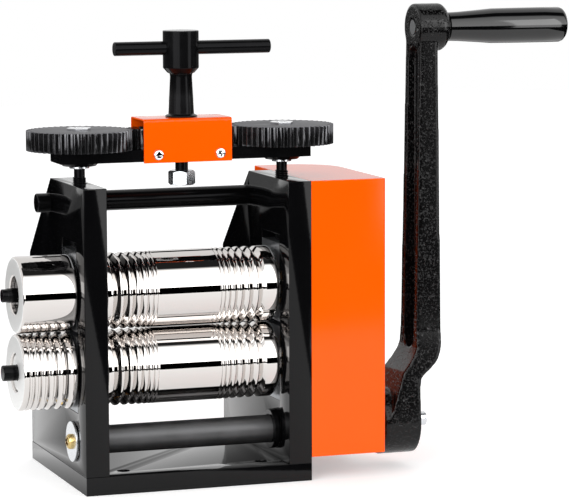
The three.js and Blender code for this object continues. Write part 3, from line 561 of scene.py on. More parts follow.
def grooved_roll_tree():
    """Half a roll from its plain middle to one end: each square wire groove is wider than the
    one before it by the same step, and 45 degree flanks make its depth half its width."""
    tree, given, result = shape_tree("graded_grooves", {
        "Side": 1.0, "Middle": -2.1, "Start": 19.7, "Half Length": 57.1, "Radius": 23.3,
        "Grooves": 7, "First": 0.9, "Step": 0.7, "Land": 1.3, "Edge": 0.24, "End Round": 1.8,
        "Journal": 11.0, "Height": 71.8, "Depth": -30.8, "Around": 160, "Material": None})
    value = given.outputs
    per_groove = node(tree, "ShaderNodeMath", {0: value["Grooves"], 1: 5.0},
                      operation="MULTIPLY")
    rows = node(tree, "ShaderNodeMath", {0: per_groove.outputs[0], 1: 9.0}, operation="ADD")
    columns = node(tree, "ShaderNodeMath", {0: value["Around"], 1: 1.0}, operation="ADD")
    grid = node(tree, "GeometryNodeMeshGrid", {
        "Vertices X": rows.outputs[0], "Vertices Y": columns.outputs[0]})
    index = node(tree, "GeometryNodeInputIndex")
    row = node(tree, "ShaderNodeMath", {0: index.outputs[0], 1: columns.outputs[0]},
               operation="DIVIDE")
    row = node(tree, "ShaderNodeMath", {0: row.outputs[0]}, operation="FLOOR")
    column = node(tree, "ShaderNodeMath", {0: index.outputs[0], 1: columns.outputs[0]},
                  operation="MODULO")
    turn = node(tree, "ShaderNodeMath", {0: column.outputs[0], 1: value["Around"]},
                operation="DIVIDE")
    turn = node(tree, "ShaderNodeMath", {0: turn.outputs[0], 1: 2 * math.pi},
                operation="MULTIPLY")

    # Which groove a row belongs to, and which of its five corners it is
    local = node(tree, "ShaderNodeMath", {0: row.outputs[0], 1: 2.0}, operation="SUBTRACT")
    number = node(tree, "ShaderNodeMath", {0: local.outputs[0], 1: 5.0}, operation="DIVIDE")
    number = node(tree, "ShaderNodeMath", {0: number.outputs[0]}, operation="FLOOR")
    corner = node(tree, "ShaderNodeMath", {0: local.outputs[0], 1: 5.0},
                  operation="FLOORED_MODULO")
    wider = node(tree, "ShaderNodeMath", {0: value["Step"], 1: number.outputs[0]},
                 operation="MULTIPLY")
    width = node(tree, "ShaderNodeMath", {0: wider.outputs[0], 1: value["First"]},
                 operation="ADD")
    each = node(tree, "ShaderNodeMath", {0: value["First"], 1: value["Land"]},
                operation="ADD")
    even = node(tree, "ShaderNodeMath", {0: each.outputs[0], 1: number.outputs[0]},
                operation="MULTIPLY")
    fewer = node(tree, "ShaderNodeMath", {0: number.outputs[0], 1: 1.0},
                 operation="SUBTRACT")
    pairs = node(tree, "ShaderNodeMath", {0: number.outputs[0], 1: fewer.outputs[0]},
                 operation="MULTIPLY")
    pairs = node(tree, "ShaderNodeMath", {0: pairs.outputs[0], 1: 0.5},
                 operation="MULTIPLY")
    growth = node(tree, "ShaderNodeMath", {0: value["Step"], 1: pairs.outputs[0]},
                  operation="MULTIPLY")
    reach = node(tree, "ShaderNodeMath", {0: even.outputs[0], 1: growth.outputs[0]},
                 operation="ADD")
    first_edge = node(tree, "ShaderNodeMath", {0: reach.outputs[0], 1: value["Start"]},
                      operation="ADD")
    half_width = node(tree, "ShaderNodeMath", {0: width.outputs[0], 1: 0.5},
                      operation="MULTIPLY")
    less_edge = node(tree, "ShaderNodeMath", {0: 0.0, 1: value["Edge"]},
                     operation="SUBTRACT")
    near_end = node(tree, "ShaderNodeMath", {0: width.outputs[0], 1: value["Edge"]},
                    operation="SUBTRACT")
    past_end = node(tree, "ShaderNodeMath", {0: width.outputs[0], 1: value["Edge"]},
                    operation="ADD")
    across = node(tree, "GeometryNodeIndexSwitch", data_type="FLOAT")
    depth = node(tree, "GeometryNodeIndexSwitch", data_type="FLOAT")
    for switch in (across, depth):
        for _ in range(3):
            switch.index_switch_items.new()
        tree.links.new(corner.outputs[0], switch.inputs["Index"])
    for k, socket in enumerate((less_edge.outputs[0], value["Edge"], half_width.outputs[0],
                                near_end.outputs[0], past_end.outputs[0])):
        tree.links.new(socket, across.inputs[str(k)])
    for k, socket in enumerate((None, value["Edge"], half_width.outputs[0], value["Edge"],
                                None)):
        if socket:
            tree.links.new(socket, depth.inputs[str(k)])
    groove_along = node(tree, "ShaderNodeMath", {0: first_edge.outputs[0],
                                                 1: across.outputs[0]}, operation="ADD")
    groove_radius = node(tree, "ShaderNodeMath", {0: value["Radius"], 1: depth.outputs[0]},
                         operation="SUBTRACT")

    # The rounded end: a held row, five rows of a quarter circle, then the journal's edge
    last = node(tree, "ShaderNodeMath", {0: row.outputs[0], 1: per_groove.outputs[0]},
                operation="SUBTRACT")
    quarter = node(tree, "ShaderNodeMapRange", {
        "Value": last.outputs[0], "From Min": 3.0, "From Max": 7.0,
        "To Min": 0.0, "To Max": math.pi / 2})
    sine = node(tree, "ShaderNodeMath", {0: quarter.outputs[0]}, operation="SINE")
    cosine = node(tree, "ShaderNodeMath", {0: quarter.outputs[0]}, operation="COSINE")
    short = node(tree, "ShaderNodeMath", {0: value["Half Length"], 1: value["End Round"]},
                 operation="SUBTRACT")
    end_along = node(tree, "ShaderNodeMath", {0: sine.outputs[0], 1: value["End Round"],
                                              2: short.outputs[0]}, operation="MULTIPLY_ADD")
    held = node(tree, "ShaderNodeMath", {0: last.outputs[0], 1: 2.5},
                operation="LESS_THAN")
    end_along = node(tree, "ShaderNodeMath", {0: held.outputs[0], 1: -0.3,
                                              2: end_along.outputs[0]},
                     operation="MULTIPLY_ADD")
    core = node(tree, "ShaderNodeMath", {0: value["Radius"], 1: value["End Round"]},
                operation="SUBTRACT")
    end_radius = node(tree, "ShaderNodeMath", {0: cosine.outputs[0], 1: value["End Round"],
                                               2: core.outputs[0]}, operation="MULTIPLY_ADD")
    face = node(tree, "ShaderNodeMath", {0: last.outputs[0], 1: 7.5},
                operation="GREATER_THAN")
    end_radius = node(tree, "GeometryNodeSwitch", {
        "Switch": face.outputs[0], "False": end_radius.outputs[0], "True": value["Journal"]},
        input_type="FLOAT")

    # The plain middle: its centre, and a held row just before the first groove
    first = node(tree, "ShaderNodeMath", {0: value["Start"], 1: 0.5}, operation="SUBTRACT")
    middle_along = node(tree, "ShaderNodeMath", {0: first.outputs[0], 1: row.outputs[0]},
                        operation="MULTIPLY")
    in_end = node(tree, "ShaderNodeMath", {0: last.outputs[0], 1: 1.5},
                  operation="GREATER_THAN")
    in_middle = node(tree, "ShaderNodeMath", {0: row.outputs[0], 1: 1.5},
                     operation="LESS_THAN")
    along = node(tree, "GeometryNodeSwitch", {
        "Switch": in_end.outputs[0], "False": groove_along.outputs[0],
        "True": end_along.outputs[0]}, input_type="FLOAT")
    along = node(tree, "GeometryNodeSwitch", {
        "Switch": in_middle.outputs[0], "False": along.outputs[0],
        "True": middle_along.outputs[0]}, input_type="FLOAT")
    radius = node(tree, "GeometryNodeSwitch", {
        "Switch": in_end.outputs[0], "False": groove_radius.outputs[0],
        "True": end_radius.outputs[0]}, input_type="FLOAT")
    radius = node(tree, "GeometryNodeSwitch", {
        "Switch": in_middle.outputs[0], "False": radius.outputs[0],
        "True": value["Radius"]}, input_type="FLOAT")
    x = node(tree, "ShaderNodeMath", {0: along.outputs[0], 1: value["Side"],
                                      2: value["Middle"]}, operation="MULTIPLY_ADD")
    cos_turn = node(tree, "ShaderNodeMath", {0: turn.outputs[0]}, operation="COSINE")
    sin_turn = node(tree, "ShaderNodeMath", {0: turn.outputs[0]}, operation="SINE")
    y = node(tree, "ShaderNodeMath", {0: radius.outputs[0], 1: cos_turn.outputs[0],
                                      2: value["Depth"]}, operation="MULTIPLY_ADD")
    z = node(tree, "ShaderNodeMath", {0: radius.outputs[0], 1: sin_turn.outputs[0],
                                      2: value["Height"]}, operation="MULTIPLY_ADD")
    spot = node(tree, "ShaderNodeCombineXYZ", {0: x.outputs[0], 1: y.outputs[0],
                                               2: z.outputs[0]})
    bent = node(tree, "GeometryNodeSetPosition", {
        "Geometry": grid.outputs["Mesh"], "Position": spot.outputs[0]})
    sealed = node(tree, "GeometryNodeMergeByDistance", {
        "Geometry": bent.outputs[0], "Distance": 0.0005})
    real = node(tree, "GeometryNodeRealizeInstances", {"Geometry": sealed.outputs[0]})
    painted = node(tree, "GeometryNodeSetMaterial", {
        "Geometry": real.outputs[0], "Material": value["Material"]})
    tree.links.new(painted.outputs[0], result.inputs[0])
    return tree


def helix_tree():
    """A ridge that climbs a core: a screw's thread."""
    tree, given, result = shape_tree("screw_thread", {
        "Foot": 146.0, "Rise": 42.0, "Pitch": 1.25, "Radius": 3.75, "Ridge": 0.55,
        "Across": 63.75, "Depth": -30.8, "Material": None})
    value = given.outputs
    turns = node(tree, "ShaderNodeMath", {0: value["Rise"], 1: value["Pitch"]},
                 operation="DIVIDE")
    spiral = node(tree, "GeometryNodeCurveSpiral", {
        "Resolution": 28, "Rotations": turns.outputs[0], "Start Radius": value["Radius"],
        "End Radius": value["Radius"], "Height": value["Rise"]})
    upright = node(tree, "GeometryNodeSetCurveNormal", {"Curve": spiral.outputs[0]},
                   mode="Z_UP")
    ridge = node(tree, "GeometryNodeCurvePrimitiveCircle", {"Resolution": 4,
                                                            "Radius": value["Ridge"]})
    swept = node(tree, "GeometryNodeCurveToMesh", {
        "Curve": upright.outputs[0], "Profile Curve": ridge.outputs["Curve"],
        "Fill Caps": True})
    spot = node(tree, "ShaderNodeCombineXYZ", {0: value["Across"], 1: value["Depth"],
                                               2: value["Foot"]})
    placed = node(tree, "GeometryNodeTransform", {"Geometry": swept.outputs[0],
                                                  "Translation": spot.outputs[0]})
    real = node(tree, "GeometryNodeRealizeInstances", {"Geometry": placed.outputs[0]})
    painted = node(tree, "GeometryNodeSetMaterial", {
        "Geometry": real.outputs[0], "Material": value["Material"]})
    tree.links.new(painted.outputs[0], result.inputs[0])
    return tree


def fastener_tree():
    """The same fastener at each given point, turned to face the same way."""
    tree, given, result = shape_tree("fasteners_at_points", {
        "Form": None, "Turn X": 0.0, "Turn Z": 0.0, "Twist": 0.35, "Material": None})
    seeds = tree.interface.new_socket("Points", in_out="INPUT",
                                      socket_type="NodeSocketGeometry")
    tree.interface.move(seeds, 0)
    value = given.outputs
    form = node(tree, "GeometryNodeObjectInfo", {"Object": value["Form"]})
    order = node(tree, "GeometryNodeInputIndex")
    twist = node(tree, "ShaderNodeMath", {0: order.outputs[0], 1: value["Twist"]},
                 operation="MULTIPLY")
    own = node(tree, "ShaderNodeCombineXYZ", {2: twist.outputs[0]})
    facing = node(tree, "ShaderNodeCombineXYZ", {0: value["Turn X"], 2: value["Turn Z"]})
    placed = node(tree, "GeometryNodeInstanceOnPoints", {
        "Points": value["Points"], "Instance": form.outputs["Geometry"],
        "Rotation": facing.outputs[0]})
    spun = node(tree, "GeometryNodeRotateInstances", {
        "Instances": placed.outputs[0], "Rotation": own.outputs[0], "Local Space": True})
    real = node(tree, "GeometryNodeRealizeInstances", {"Geometry": spun.outputs[0]})
    painted = node(tree, "GeometryNodeSetMaterial", {
        "Geometry": real.outputs[0], "Material": value["Material"]})
    tree.links.new(painted.outputs[0], result.inputs[0])
    return tree


def pan_screw(radius, height):
    """A pan head with a cross recess, facing +Z, its underside at the origin."""
    head = turned("pan_head", [
        (-0.2, 0), (-0.2, radius * 0.98), (height * 0.35, radius), (height * 0.72, radius * 0.86),
        (height * 0.95, radius * 0.55), (height, 0)], (0, 0), "Z", 48, 0.25)
    arms = []
    for turn in (0, math.pi / 2):
        arm = block("cross", -radius * 0.66, radius * 0.66, -radius * 0.19, radius * 0.19,
                    height * 0.1, height + 1)
        arm.data.transform(Matrix.Rotation(turn, 4, "Z"))
        arms.append(arm)
    return carve(head, "DIFFERENCE", *arms)


# Base and plates
def build_frame_pieces():
    piece("base_plate_body", copy_of("base_plate"), "mill_frame",
          black_enamel, ["base_plate"], edge=0.5)
    for side in ("left", "right"):
        piece(f"side_plate_{side}_body", copy_of(f"side_plate_{side}"), "mill_frame",
              black_enamel, [f"side_plate_{side}"], edge=0.6)
    bar = rod("tie", -PLATE_INNER, PLATE_INNER, TIE_RADIUS, TIE_AT, steps=96)
    piece("upper_tie_rod", bar, "mill_frame", bar_oxide, ["upper_tie_bar"])
    for side, name in ((-1, "left"), (1, "right")):
        bolt = turned("bolt", [
            (side * 71.3, 0), (side * 71.3, TIE_HEAD), (side * 80, TIE_HEAD), (side * 80, 0)],
            TIE_AT, "X", 64, 0.7)
        carve(bolt, "DIFFERENCE", hex_socket(TIE_AT, 2.9, side * 76.5, side * 81))
        piece(f"tie_cap_screw_{name}", bolt, "mill_frame", bar_oxide,
              [f"tie_bolt_{name}"])


# Rolls
def build_rolls():
    grooves = grooved_roll_tree()
    middle = (PLAIN_FROM + PLAIN_TO) / 2
    for name, z, body, seat_end in (("lower", LOWER_Z, "lower_roll_set", 110.0),
                                    ("upper", UPPER_Z, "upper_roll_set", 92.0)):
        halves = []
        for side in (-1, 1):
            end = ROLL_LENGTH / 2
            halves.append(grown(f"{name}_half_{side}", grooves, {
                "Side": float(side), "Middle": middle, "Start": PLAIN_TO - middle,
                "Half Length": end - side * middle, "Height": z, "Depth": AXIS_Y,
                "Radius": ROLL_RADIUS, "Grooves": GROOVES, "First": GROOVE_FIRST,
                "Step": GROOVE_STEP, "Land": GROOVE_LAND, "Journal": JOURNAL,
                "Material": mirror_steel}))
        end = ROLL_LENGTH / 2
        left = turned("journal", [
            (-end, JOURNAL), (-PLATE_OUTER - 0.5, JOURNAL), (-PLATE_OUTER - 0.5, STUB),
            (RECESS_FLOOR + 0.2, STUB), (RECESS_FLOOR + 0.2, 0)], (AXIS_Y, z), "X", 96)
        right = turned("seat", [
            (end, JOURNAL), (75, JOURNAL), (75, GEAR_SEAT), (seat_end - 1, GEAR_SEAT),
            (seat_end, GEAR_SEAT - 1), (seat_end, 0)], (AXIS_Y, z), "X", 96)
        whole = join_meshes(f"{name}_roll_body", *halves, left, right)
        piece(f"{name}_roll_body", whole, body, mirror_steel,
              [f"{name}_roll"], sharp=50)
        extension(name, z, body)


def join_meshes(name, *parts):
    shape = bmesh.new()
    for part in parts:
        shape.from_mesh(part.data)
        bpy.data.objects.remove(part)
    bmesh.ops.remove_doubles(shape, verts=shape.verts, dist=1e-3)
    bmesh.ops.recalc_face_normals(shape, faces=shape.faces)
    mesh = bpy.data.meshes.new(name)
    shape.to_mesh(mesh)
    shape.free()
    made = bpy.data.objects.new(name, mesh)
    scene.collection.objects.link(made)
    return made


def extension(name, z, body):
    """An extension roll with its deep recess, plain above and half round grooved below."""
    rim = []
    if name == "lower":
        x = EXTENSION_END + HALF_ROUND_INSET
        sweep = math.radians(HALF_ROUND_SWEEP)
        for i in range(HALF_ROUNDS):
            half = (HALF_ROUND_FIRST + HALF_ROUND_STEP * i) / 2
            radius = half / math.sin(sweep)
            for angle in range(-HALF_ROUND_SWEEP, HALF_ROUND_SWEEP + 1, 12):
                turn = math.radians(angle)
                rim.append((x + half + radius * math.sin(turn),
                            ROLL_RADIUS - radius * (math.cos(turn) - math.cos(sweep))))
            x += 2 * half + HALF_ROUND_LAND
    round_end = [(EXTENSION_END + 1.9 * (1 - math.cos(t)), ROLL_RADIUS - 1.9 * (1 - math.sin(t)))
                 for t in [math.radians(a) for a in range(0, 91, 15)]]
    round_start = [(EXTENSION_START - 1 + math.sin(t), ROLL_RADIUS - 1 + math.cos(t))
                   for t in [math.radians(a) for a in range(0, 91, 18)]]
    ring = turned("ring", [
        (RECESS_FLOOR, STUB + 0.1), (RECESS_FLOOR, RECESS_RADIUS),
        (EXTENSION_END + 0.7, RECESS_RADIUS), (EXTENSION_END, RECESS_RADIUS + 0.7),
        *round_end, (EXTENSION_END + 2.3, ROLL_RADIUS), *rim,
        (EXTENSION_START - 1.4, ROLL_RADIUS), *round_start,
        (EXTENSION_START, STUB + 0.1), (RECESS_FLOOR, STUB + 0.1)], (AXIS_Y, z), "X", 160)
    end_finish = lower_end_steel if name == "lower" else upper_end_steel
    made = piece(f"{name}_extension_body", ring, body,
                 [mirror_steel, end_finish], [f"{name}_extension_roll"], sharp=38)
    for face in made.data.polygons:
        if abs(face.normal.x) > 0.9 and face.center.x < (EXTENSION_END + 1) * MM:
            face.material_index = 1

    radius, reach = (4.8, 7.7) if name == "lower" else (4.4, 7.6)
    tip = EXTENSION_END - reach
    if name == "lower":
        profile = [(tip, 0), (tip, radius), (EXTENSION_END + 1.3, radius)]
        seat = EXTENSION_END + 1.3
    else:
        profile = [(tip, 0), (tip, 4.0), (tip + 3.2, 4.0), (tip + 3.7, radius),
                   (EXTENSION_END + 3.2, radius)]
        seat = EXTENSION_END + 3.2
    bolt = turned("bolt", profile + [
        (seat, RECESS_RADIUS - 0.4), (RECESS_FLOOR - 0.2, RECESS_RADIUS - 0.4),
        (RECESS_FLOOR - 0.2, 2.9), (RECESS_FLOOR + 18, 2.9), (RECESS_FLOOR + 18, 0)],
        (AXIS_Y, z), "X", 64, 0.5)
    made = piece(f"{name}_extension_cap_screw", bolt, body,
                 [bar_oxide, end_finish], [f"{name}_extension_bolt"])
    if name == "lower":
        for face in made.data.polygons:
            across = math.hypot(face.center.y - AXIS_Y * MM, face.center.z - z * MM)
            if face.center.x > (EXTENSION_END + 1) * MM and across > 5 * MM:
                face.material_index = 1


# Crank shaft and crank
def build_shaft():
    at = (SHAFT_Y, SHAFT_Z)
    shaft = turned("shaft", [
        (-71.3, 0), (-71.3, SHAFT_RADIUS), (142.3, SHAFT_RADIUS), (142.3, 0)], at, "X", 96, 0.5)
    piece("crank_shaft_body", shaft, "crank", shaft_oxide, ["crank_shaft"])
    collar = turned("collar", [
        (53.3, SHAFT_RADIUS + 0.1), (53.3, 12.2), (56.8, 12.2), (56.8, SHAFT_RADIUS + 0.1),
        (53.3, SHAFT_RADIUS + 0.1)], at, "X", 96, 0.45)
    piece("shaft_collar_body", collar, "crank", bar_oxide, ["shaft_collar"])
    washer = turned("washer", [
        (-73.1, 2.6), (-73.1, 12.3), (-71.7, 12.3), (-71.7, 2.6), (-73.1, 2.6)], at, "X", 96,
        0.25)
    piece("shaft_end_washer_body", washer, "crank", bright_zinc,
          ["shaft_end_washer"])
    screw = pan_screw(4.7, 2.9)
    screw.data.transform(Matrix.Rotation(-math.pi / 2, 4, "Y"))
    screw.data.transform(Matrix.Rotation(0.5, 4, "X"))
    screw.data.transform(Matrix.Translation((-73.2, SHAFT_Y, SHAFT_Z)))
    piece("shaft_end_pan_screw", screw, "crank", yellow_chromate,
          ["shaft_end_screw"], sharp=35)


def build_crank():
    waist = BEND_HIGH + 9
    wide = ARM_HALF + 1.4
    side = arc(SHAFT_Y, SHAFT_Z, HUB_RADIUS, 180, 360, 48)
    side += bow((SHAFT_Y + HUB_RADIUS, SHAFT_Z), (SHAFT_Y + HUB_RADIUS - 2, SHAFT_Z + 30),
                (SHAFT_Y + wide, waist), 16)
    side += [(SHAFT_Y + ARM_HALF, HANDLE_Z), (SHAFT_Y - ARM_HALF, HANDLE_Z),
             (SHAFT_Y - wide, waist)]
    side += bow((SHAFT_Y - wide, waist), (SHAFT_Y - HUB_RADIUS + 2, SHAFT_Z + 30),
                (SHAFT_Y - HUB_RADIUS, SHAFT_Z), 16)[:-1]
    low = SHAFT_Z - HUB_RADIUS - 1
    elbow = (ARM_FOOT - 9.6, BEND_SHOULDER + 3.6)
    front = [(HUB_START + 4, low), (HUB_START + 4, BEND_LOW), elbow]
    front += bow(elbow, (ARM_FOOT, BEND_HIGH - 6), (ARM_FOOT, BEND_HIGH), 12)
    front += [(ARM_INNER_TOP, HANDLE_Z), (ARM_OUTER_TOP, HANDLE_Z),
              (ARM_OUTER_FOOT, BEND_HIGH + 4)]
    front += bow((ARM_OUTER_FOOT, BEND_HIGH + 4), (ARM_OUTER_FOOT, BEND_HIGH - 6.5),
                 (ARM_OUTER_FOOT - 5.2, BEND_HIGH - 12.5), 10)
    front += [(HUB_END + 1, BEND_SHOULDER), (HUB_END, BEND_SHOULDER - 7), (HUB_END, low)]
    arm = prism("arm", side, "X", HUB_START - 5, BOSS_END + 5)
    carve(arm, "INTERSECT", prism("front", front, "Y", SHAFT_Y - HUB_RADIUS - 1,
                                  SHAFT_Y + HUB_RADIUS + 1))
    hub = turned("hub", [
        (HUB_START, 0), (HUB_START, HUB_RADIUS - 2), (HUB_START + 2, HUB_RADIUS),
        (HUB_END - 2.5, HUB_RADIUS), (HUB_END, HUB_RADIUS - 2.5), (HUB_END, 0)],
        (SHAFT_Y, SHAFT_Z), "X", 96)
    boss = turned("boss", [
        (ARM_INNER_TOP - 0.5, 0), (ARM_INNER_TOP - 0.5, BOSS_RADIUS - 0.8),
        (ARM_INNER_TOP + 0.3, BOSS_RADIUS), (BOSS_END, BOSS_RADIUS),
        ((BOSS_END + BOSS_TIP) / 2, BOSS_RADIUS - 1.8), (BOSS_TIP, GRIP_THIN + 0.5), (BOSS_TIP, 0)],
        (SHAFT_Y, HANDLE_Z), "X", 96)
    carve(arm, "UNION", hub, boss)
    foot = BEND_HIGH + 5
    top = HANDLE_Z - BOSS_RADIUS - 5
    hollow = arc(SHAFT_Y, foot, CHANNEL_HALF, 180, 360, 24)
    hollow += arc(SHAFT_Y, top, CHANNEL_HALF, 0, 180, 24)
    at = (SHAFT_Y, SHAFT_Z)
    carve(arm, "DIFFERENCE",
          prism("hollow", hollow, "X", HUB_START, CHANNEL_FLOOR),
          rod("bore", HUB_START - 1, 142.42, SHAFT_RADIUS + 0.12, at),
          rod("bolt_way", HUB_START, HUB_END + 1, 3.4, at),
          rod("axle_way", ARM_INNER_TOP - 2, BOSS_TIP + 1, AXLE + 0.12,
              (SHAFT_Y, HANDLE_Z)))
    # A sand casting has no sharp edge: the form is remeshed finely and its edges relaxed
    skin = arm.modifiers.new("skin", "REMESH")
    skin.mode = "VOXEL"
    skin.voxel_size = 0.72
    plain_mesh(arm)
    relax = arm.modifiers.new("relax", "SMOOTH")
    relax.factor = 0.5
    relax.iterations = 5
    plain_mesh(arm)
    piece("crank_arm_casting", arm, "crank", enamelled_casting, ["crank_arm"],
          sharp=180)

    bolt = turned("bolt", [
        (HUB_END - 16, 0), (HUB_END - 16, 3), (HUB_END + 0.1, 3), (HUB_END + 0.1, 6.5),
        (HUB_END + 1.6, 6.5), (HUB_END + 1.6, 4.3), (HUB_END + 9.9, 4.3), (HUB_END + 9.9, 0)],
        at, "X", 64, 0.5)
    carve(bolt, "DIFFERENCE", hex_socket(at, 2.6, HUB_END + 5.5, HUB_END + 11))
    piece("crank_cap_screw", bolt, "crank", bright_zinc, ["crank_bolt"], sharp=35)

    grip = turned("grip", [
        (GRIP_START, AXLE + 0.3), (GRIP_START, GRIP_THIN - 0.6), (GRIP_START + 0.6, GRIP_THIN),
        (GRIP_START + 8, GRIP_THIN + 0.3), (GRIP_START + 19, 9.9),
        (GRIP_START + 30, GRIP_THICK - 0.2), (GRIP_START + 46, GRIP_THICK - 0.05),
        (GRIP_END - 16, GRIP_THICK), (GRIP_END - 3.4, GRIP_THICK - 0.1),
        (GRIP_END - 1.8, 10.3), (GRIP_END - 0.6, 9.0), (GRIP_END - 0.1, 7.0), (GRIP_END, 0)],
        (SHAFT_Y, HANDLE_Z), "X", 128)
    piece("handle_grip_body", grip, "grip", grip_plastic, ["handle_grip"])
    axle = rod("axle", ARM_INNER_TOP - 0.5, GRIP_END - 8, AXLE, (SHAFT_Y, HANDLE_Z))
    piece("handle_axle_body", axle, "crank", chrome_plate, ["handle_axle"])


# Gear cover
def cover_shell(name, inset, foot):
    x0 = PLATE_OUTER + inset
    x1 = COVER_X - inset
    y0 = FRONT + inset
    y1 = COVER_REAR - inset
    corner = 30 - inset
    nose = max(2 - inset, 0.4)
    outline = [(x0, y0)]
    outline += arc(x1 - nose, y0 + nose, nose, -90, 0, 8)
    outline += arc(x1 - corner, y1 - corner, corner, 0, 90, 32)
    outline += [(x0, y1)]
    return prism(name, outline, "Z", foot, MILL_TOP - inset)


def build_cover():
    cover = cover_shell("cover", 0, COVER_FOOT)
    slope = (REAR - FRONT - PLATE_TOP_DEPTH) / (MILL_TOP - SLOPE_FOOT)
    door_top = MILL_TOP - 3
    door_rear = COVER_REAR - 3
    at_top = FRONT + PLATE_TOP_DEPTH + 3 * slope - 4.5
    turn_z = door_top - (door_rear - at_top) / slope
    door = [(FRONT + 3, COVER_FOOT - 1), (door_rear, COVER_FOOT - 1), (door_rear, turn_z),
            (at_top, door_top), (FRONT + 3, door_top)]
    carve(cover, "DIFFERENCE",
          cover_shell("inside", COVER_WALL, COVER_FOOT - 1),
          prism("door", door, "X", PLATE_OUTER - 1, PLATE_OUTER + COVER_WALL + 1),
          rod("way", COVER_X - 5, COVER_X + 1, SHAFT_RADIUS + 1, (SHAFT_Y, SHAFT_Z)))
    piece("gear_cover_shell", cover, "mill_frame", orange_enamel,
          ["gear_cover"], edge=0.5)


# Adjuster
def build_adjuster():
    bar = block("bar", -CARRIER_END, CARRIER_END, AXIS_Y - CARRIER_HALF,
                AXIS_Y + CARRIER_HALF, CARRIER_FOOT, CARRIER_TOP)
    for x in (-SCREW_X, SCREW_X):
        boss = turned("boss", [
            (CARRIER_FOOT - 2, 0), (CARRIER_FOOT - 2, 10), (CARRIER_FOOT, 12),
            (CARRIER_FOOT + 1, 12), (CARRIER_FOOT + 1, 0)], (x, AXIS_Y), "Z", 96)
        carve(bar, "UNION", boss)
    for x in (-IDLER_X, IDLER_X):
        carve(bar, "UNION", rod("post", CARRIER_TOP - 1, GEAR_TOP + 1, 4, (x, AXIS_Y), "Z"))
    carve(bar, "DIFFERENCE",
          rod("left", CARRIER_FOOT - 5, CARRIER_TOP + 1, 3.6, (-SCREW_X, AXIS_Y), "Z"),
          rod("right", CARRIER_FOOT - 5, CARRIER_TOP + 1, 3.6, (SCREW_X, AXIS_Y), "Z"),
          rod("middle", CARRIER_FOOT - 5, CARRIER_TOP + 1, 4.2, (0, AXIS_Y), "Z"))
    piece("carrier_bar_body", bar, "carrier", bar_oxide, ["carrier_bar"],
          edge=0.45)

    def section(inset, foot):
        half = BOX_SIDE - inset
        top = BOX_TOP - inset
        radius = max(1.8 - inset, 0.5)
        return [(AXIS_Y - half, foot)] \
            + arc(AXIS_Y - half + radius, top - radius, radius, 180, 90, 8) \
            + arc(AXIS_Y + half - radius, top - radius, radius, 90, 0, 8) \
            + [(AXIS_Y + half, foot)]
    foot = CARRIER_FOOT - 0.8
    box = prism("box", section(0, foot), "X", -BOX_HALF, BOX_HALF)
    carve(box, "DIFFERENCE",
          prism("inside", section(1.2, foot - 1), "X", -BOX_HALF - 1, BOX_HALF + 1),
          rod("way", GEAR_TOP + 2, BOX_TOP + 1, 8.5, (0, AXIS_Y), "Z"))
    piece("pinion_box_shell", box, "carrier", orange_enamel, ["pinion_box"],
          edge=0.25, bevel_over=50)

    form = pan_screw(3.25, 2.1)
    form.data.transform(Matrix.Scale(1, 4))
    screws = fastener_tree()
    heads = grown("box_screws", screws, {
        "Form": form, "Turn X": math.pi / 2, "Twist": 0.7, "Material": chrome_plate},
        [(-18.9, AXIS_Y - BOX_SIDE, 201.6), (20.3, AXIS_Y - BOX_SIDE, 201.6)])
    piece("pinion_box_screws", heads, "carrier", chrome_plate, sharp=35)
    bpy.data.objects.remove(form)
    form = pan_screw(4, 2.4)
    form.data.transform(Matrix.Rotation(math.pi / 2, 4, "X"))
    heads = grown("cover_screws", screws, {
        "Form": form, "Turn Z": math.pi / 2, "Twist": 0.0, "Material": bright_zinc},
        [(COVER_X, 4, 164), (COVER_X, 8, 36)])
    piece("cover_pan_screws", heads, "mill_frame", bright_zinc, sharp=35)
    bpy.data.objects.remove(form)

    thread = helix_tree()
    for side, name in ((-1, "left"), (1, "right")):
        x = side * SCREW_X
        core = turned("core", [
            (145.4, 0), (145.4, 3.2), (146.4, 3.7), (188.3, 3.7), (188.5, 3.3), (194, 3.3),
            (194, 6), (195.3, 6), (195.3, 3.3), (GEAR_TOP + 1.2, 3.3), (GEAR_TOP + 1.2, 0)],
            (x, AXIS_Y), "Z", 64, 0.15)
        ridge = grown("ridge", thread, {
            "Foot": 146.2, "Rise": 42.0, "Pitch": THREAD_PITCH, "Radius": 3.7, "Ridge": 0.5,
            "Across": x, "Depth": AXIS_Y, "Material": bar_oxide})
        mesh = bmesh.new()
        for part in (core, ridge):
            mesh.from_mesh(part.data)
        mesh.to_mesh(core.data)
        mesh.free()
        bpy.data.objects.remove(ridge)
        made = piece(f"pressure_screw_{name}_body", core, f"screw_{name}",
                     [bar_oxide, bright_zinc], [f"pressure_screw_{name}"], sharp=35)
        for face in made.data.polygons:
            if 0.1938 < face.center.z < 0.1955:
                face.material_index = 1
        gear = piece(f"screw_gear_{name}_body", copy_of(f"screw_gear_{name}"),
                     f"screw_{name}", [gear_oxide, gear_top_sheen_steel],
                     [f"screw_gear_{name}"], edge=0.14, bevel_over=30)
        # Faces that point up take the paler copy: painted sheen on the gear's top
        for face in gear.data.polygons:
            if face.normal.z > 0.95:
                face.material_index = 1
        nut = hexagon_prism("nut", x, AXIS_Y, 13, 0.0, GEAR_TOP + 0.05, GEAR_TOP + 1.4)
        carve(nut, "DIFFERENCE", rod("hole", 216, 221, 3.42, (x, AXIS_Y), "Z"))
        piece(f"gear_nut_{name}_body", nut, f"screw_{name}", chrome_plate,
              [f"gear_nut_{name}"], edge=0.3)
        piece(f"idler_pinion_{name}_body", copy_of(f"idler_pinion_{name}"), f"idler_{name}",
              gear_oxide, [f"idler_pinion_{name}"], edge=0.14, bevel_over=30)
    piece("centre_pinion_body", copy_of("centre_pinion"), "tee_handle",
          gear_oxide, ["centre_pinion"], edge=0.14, bevel_over=30)

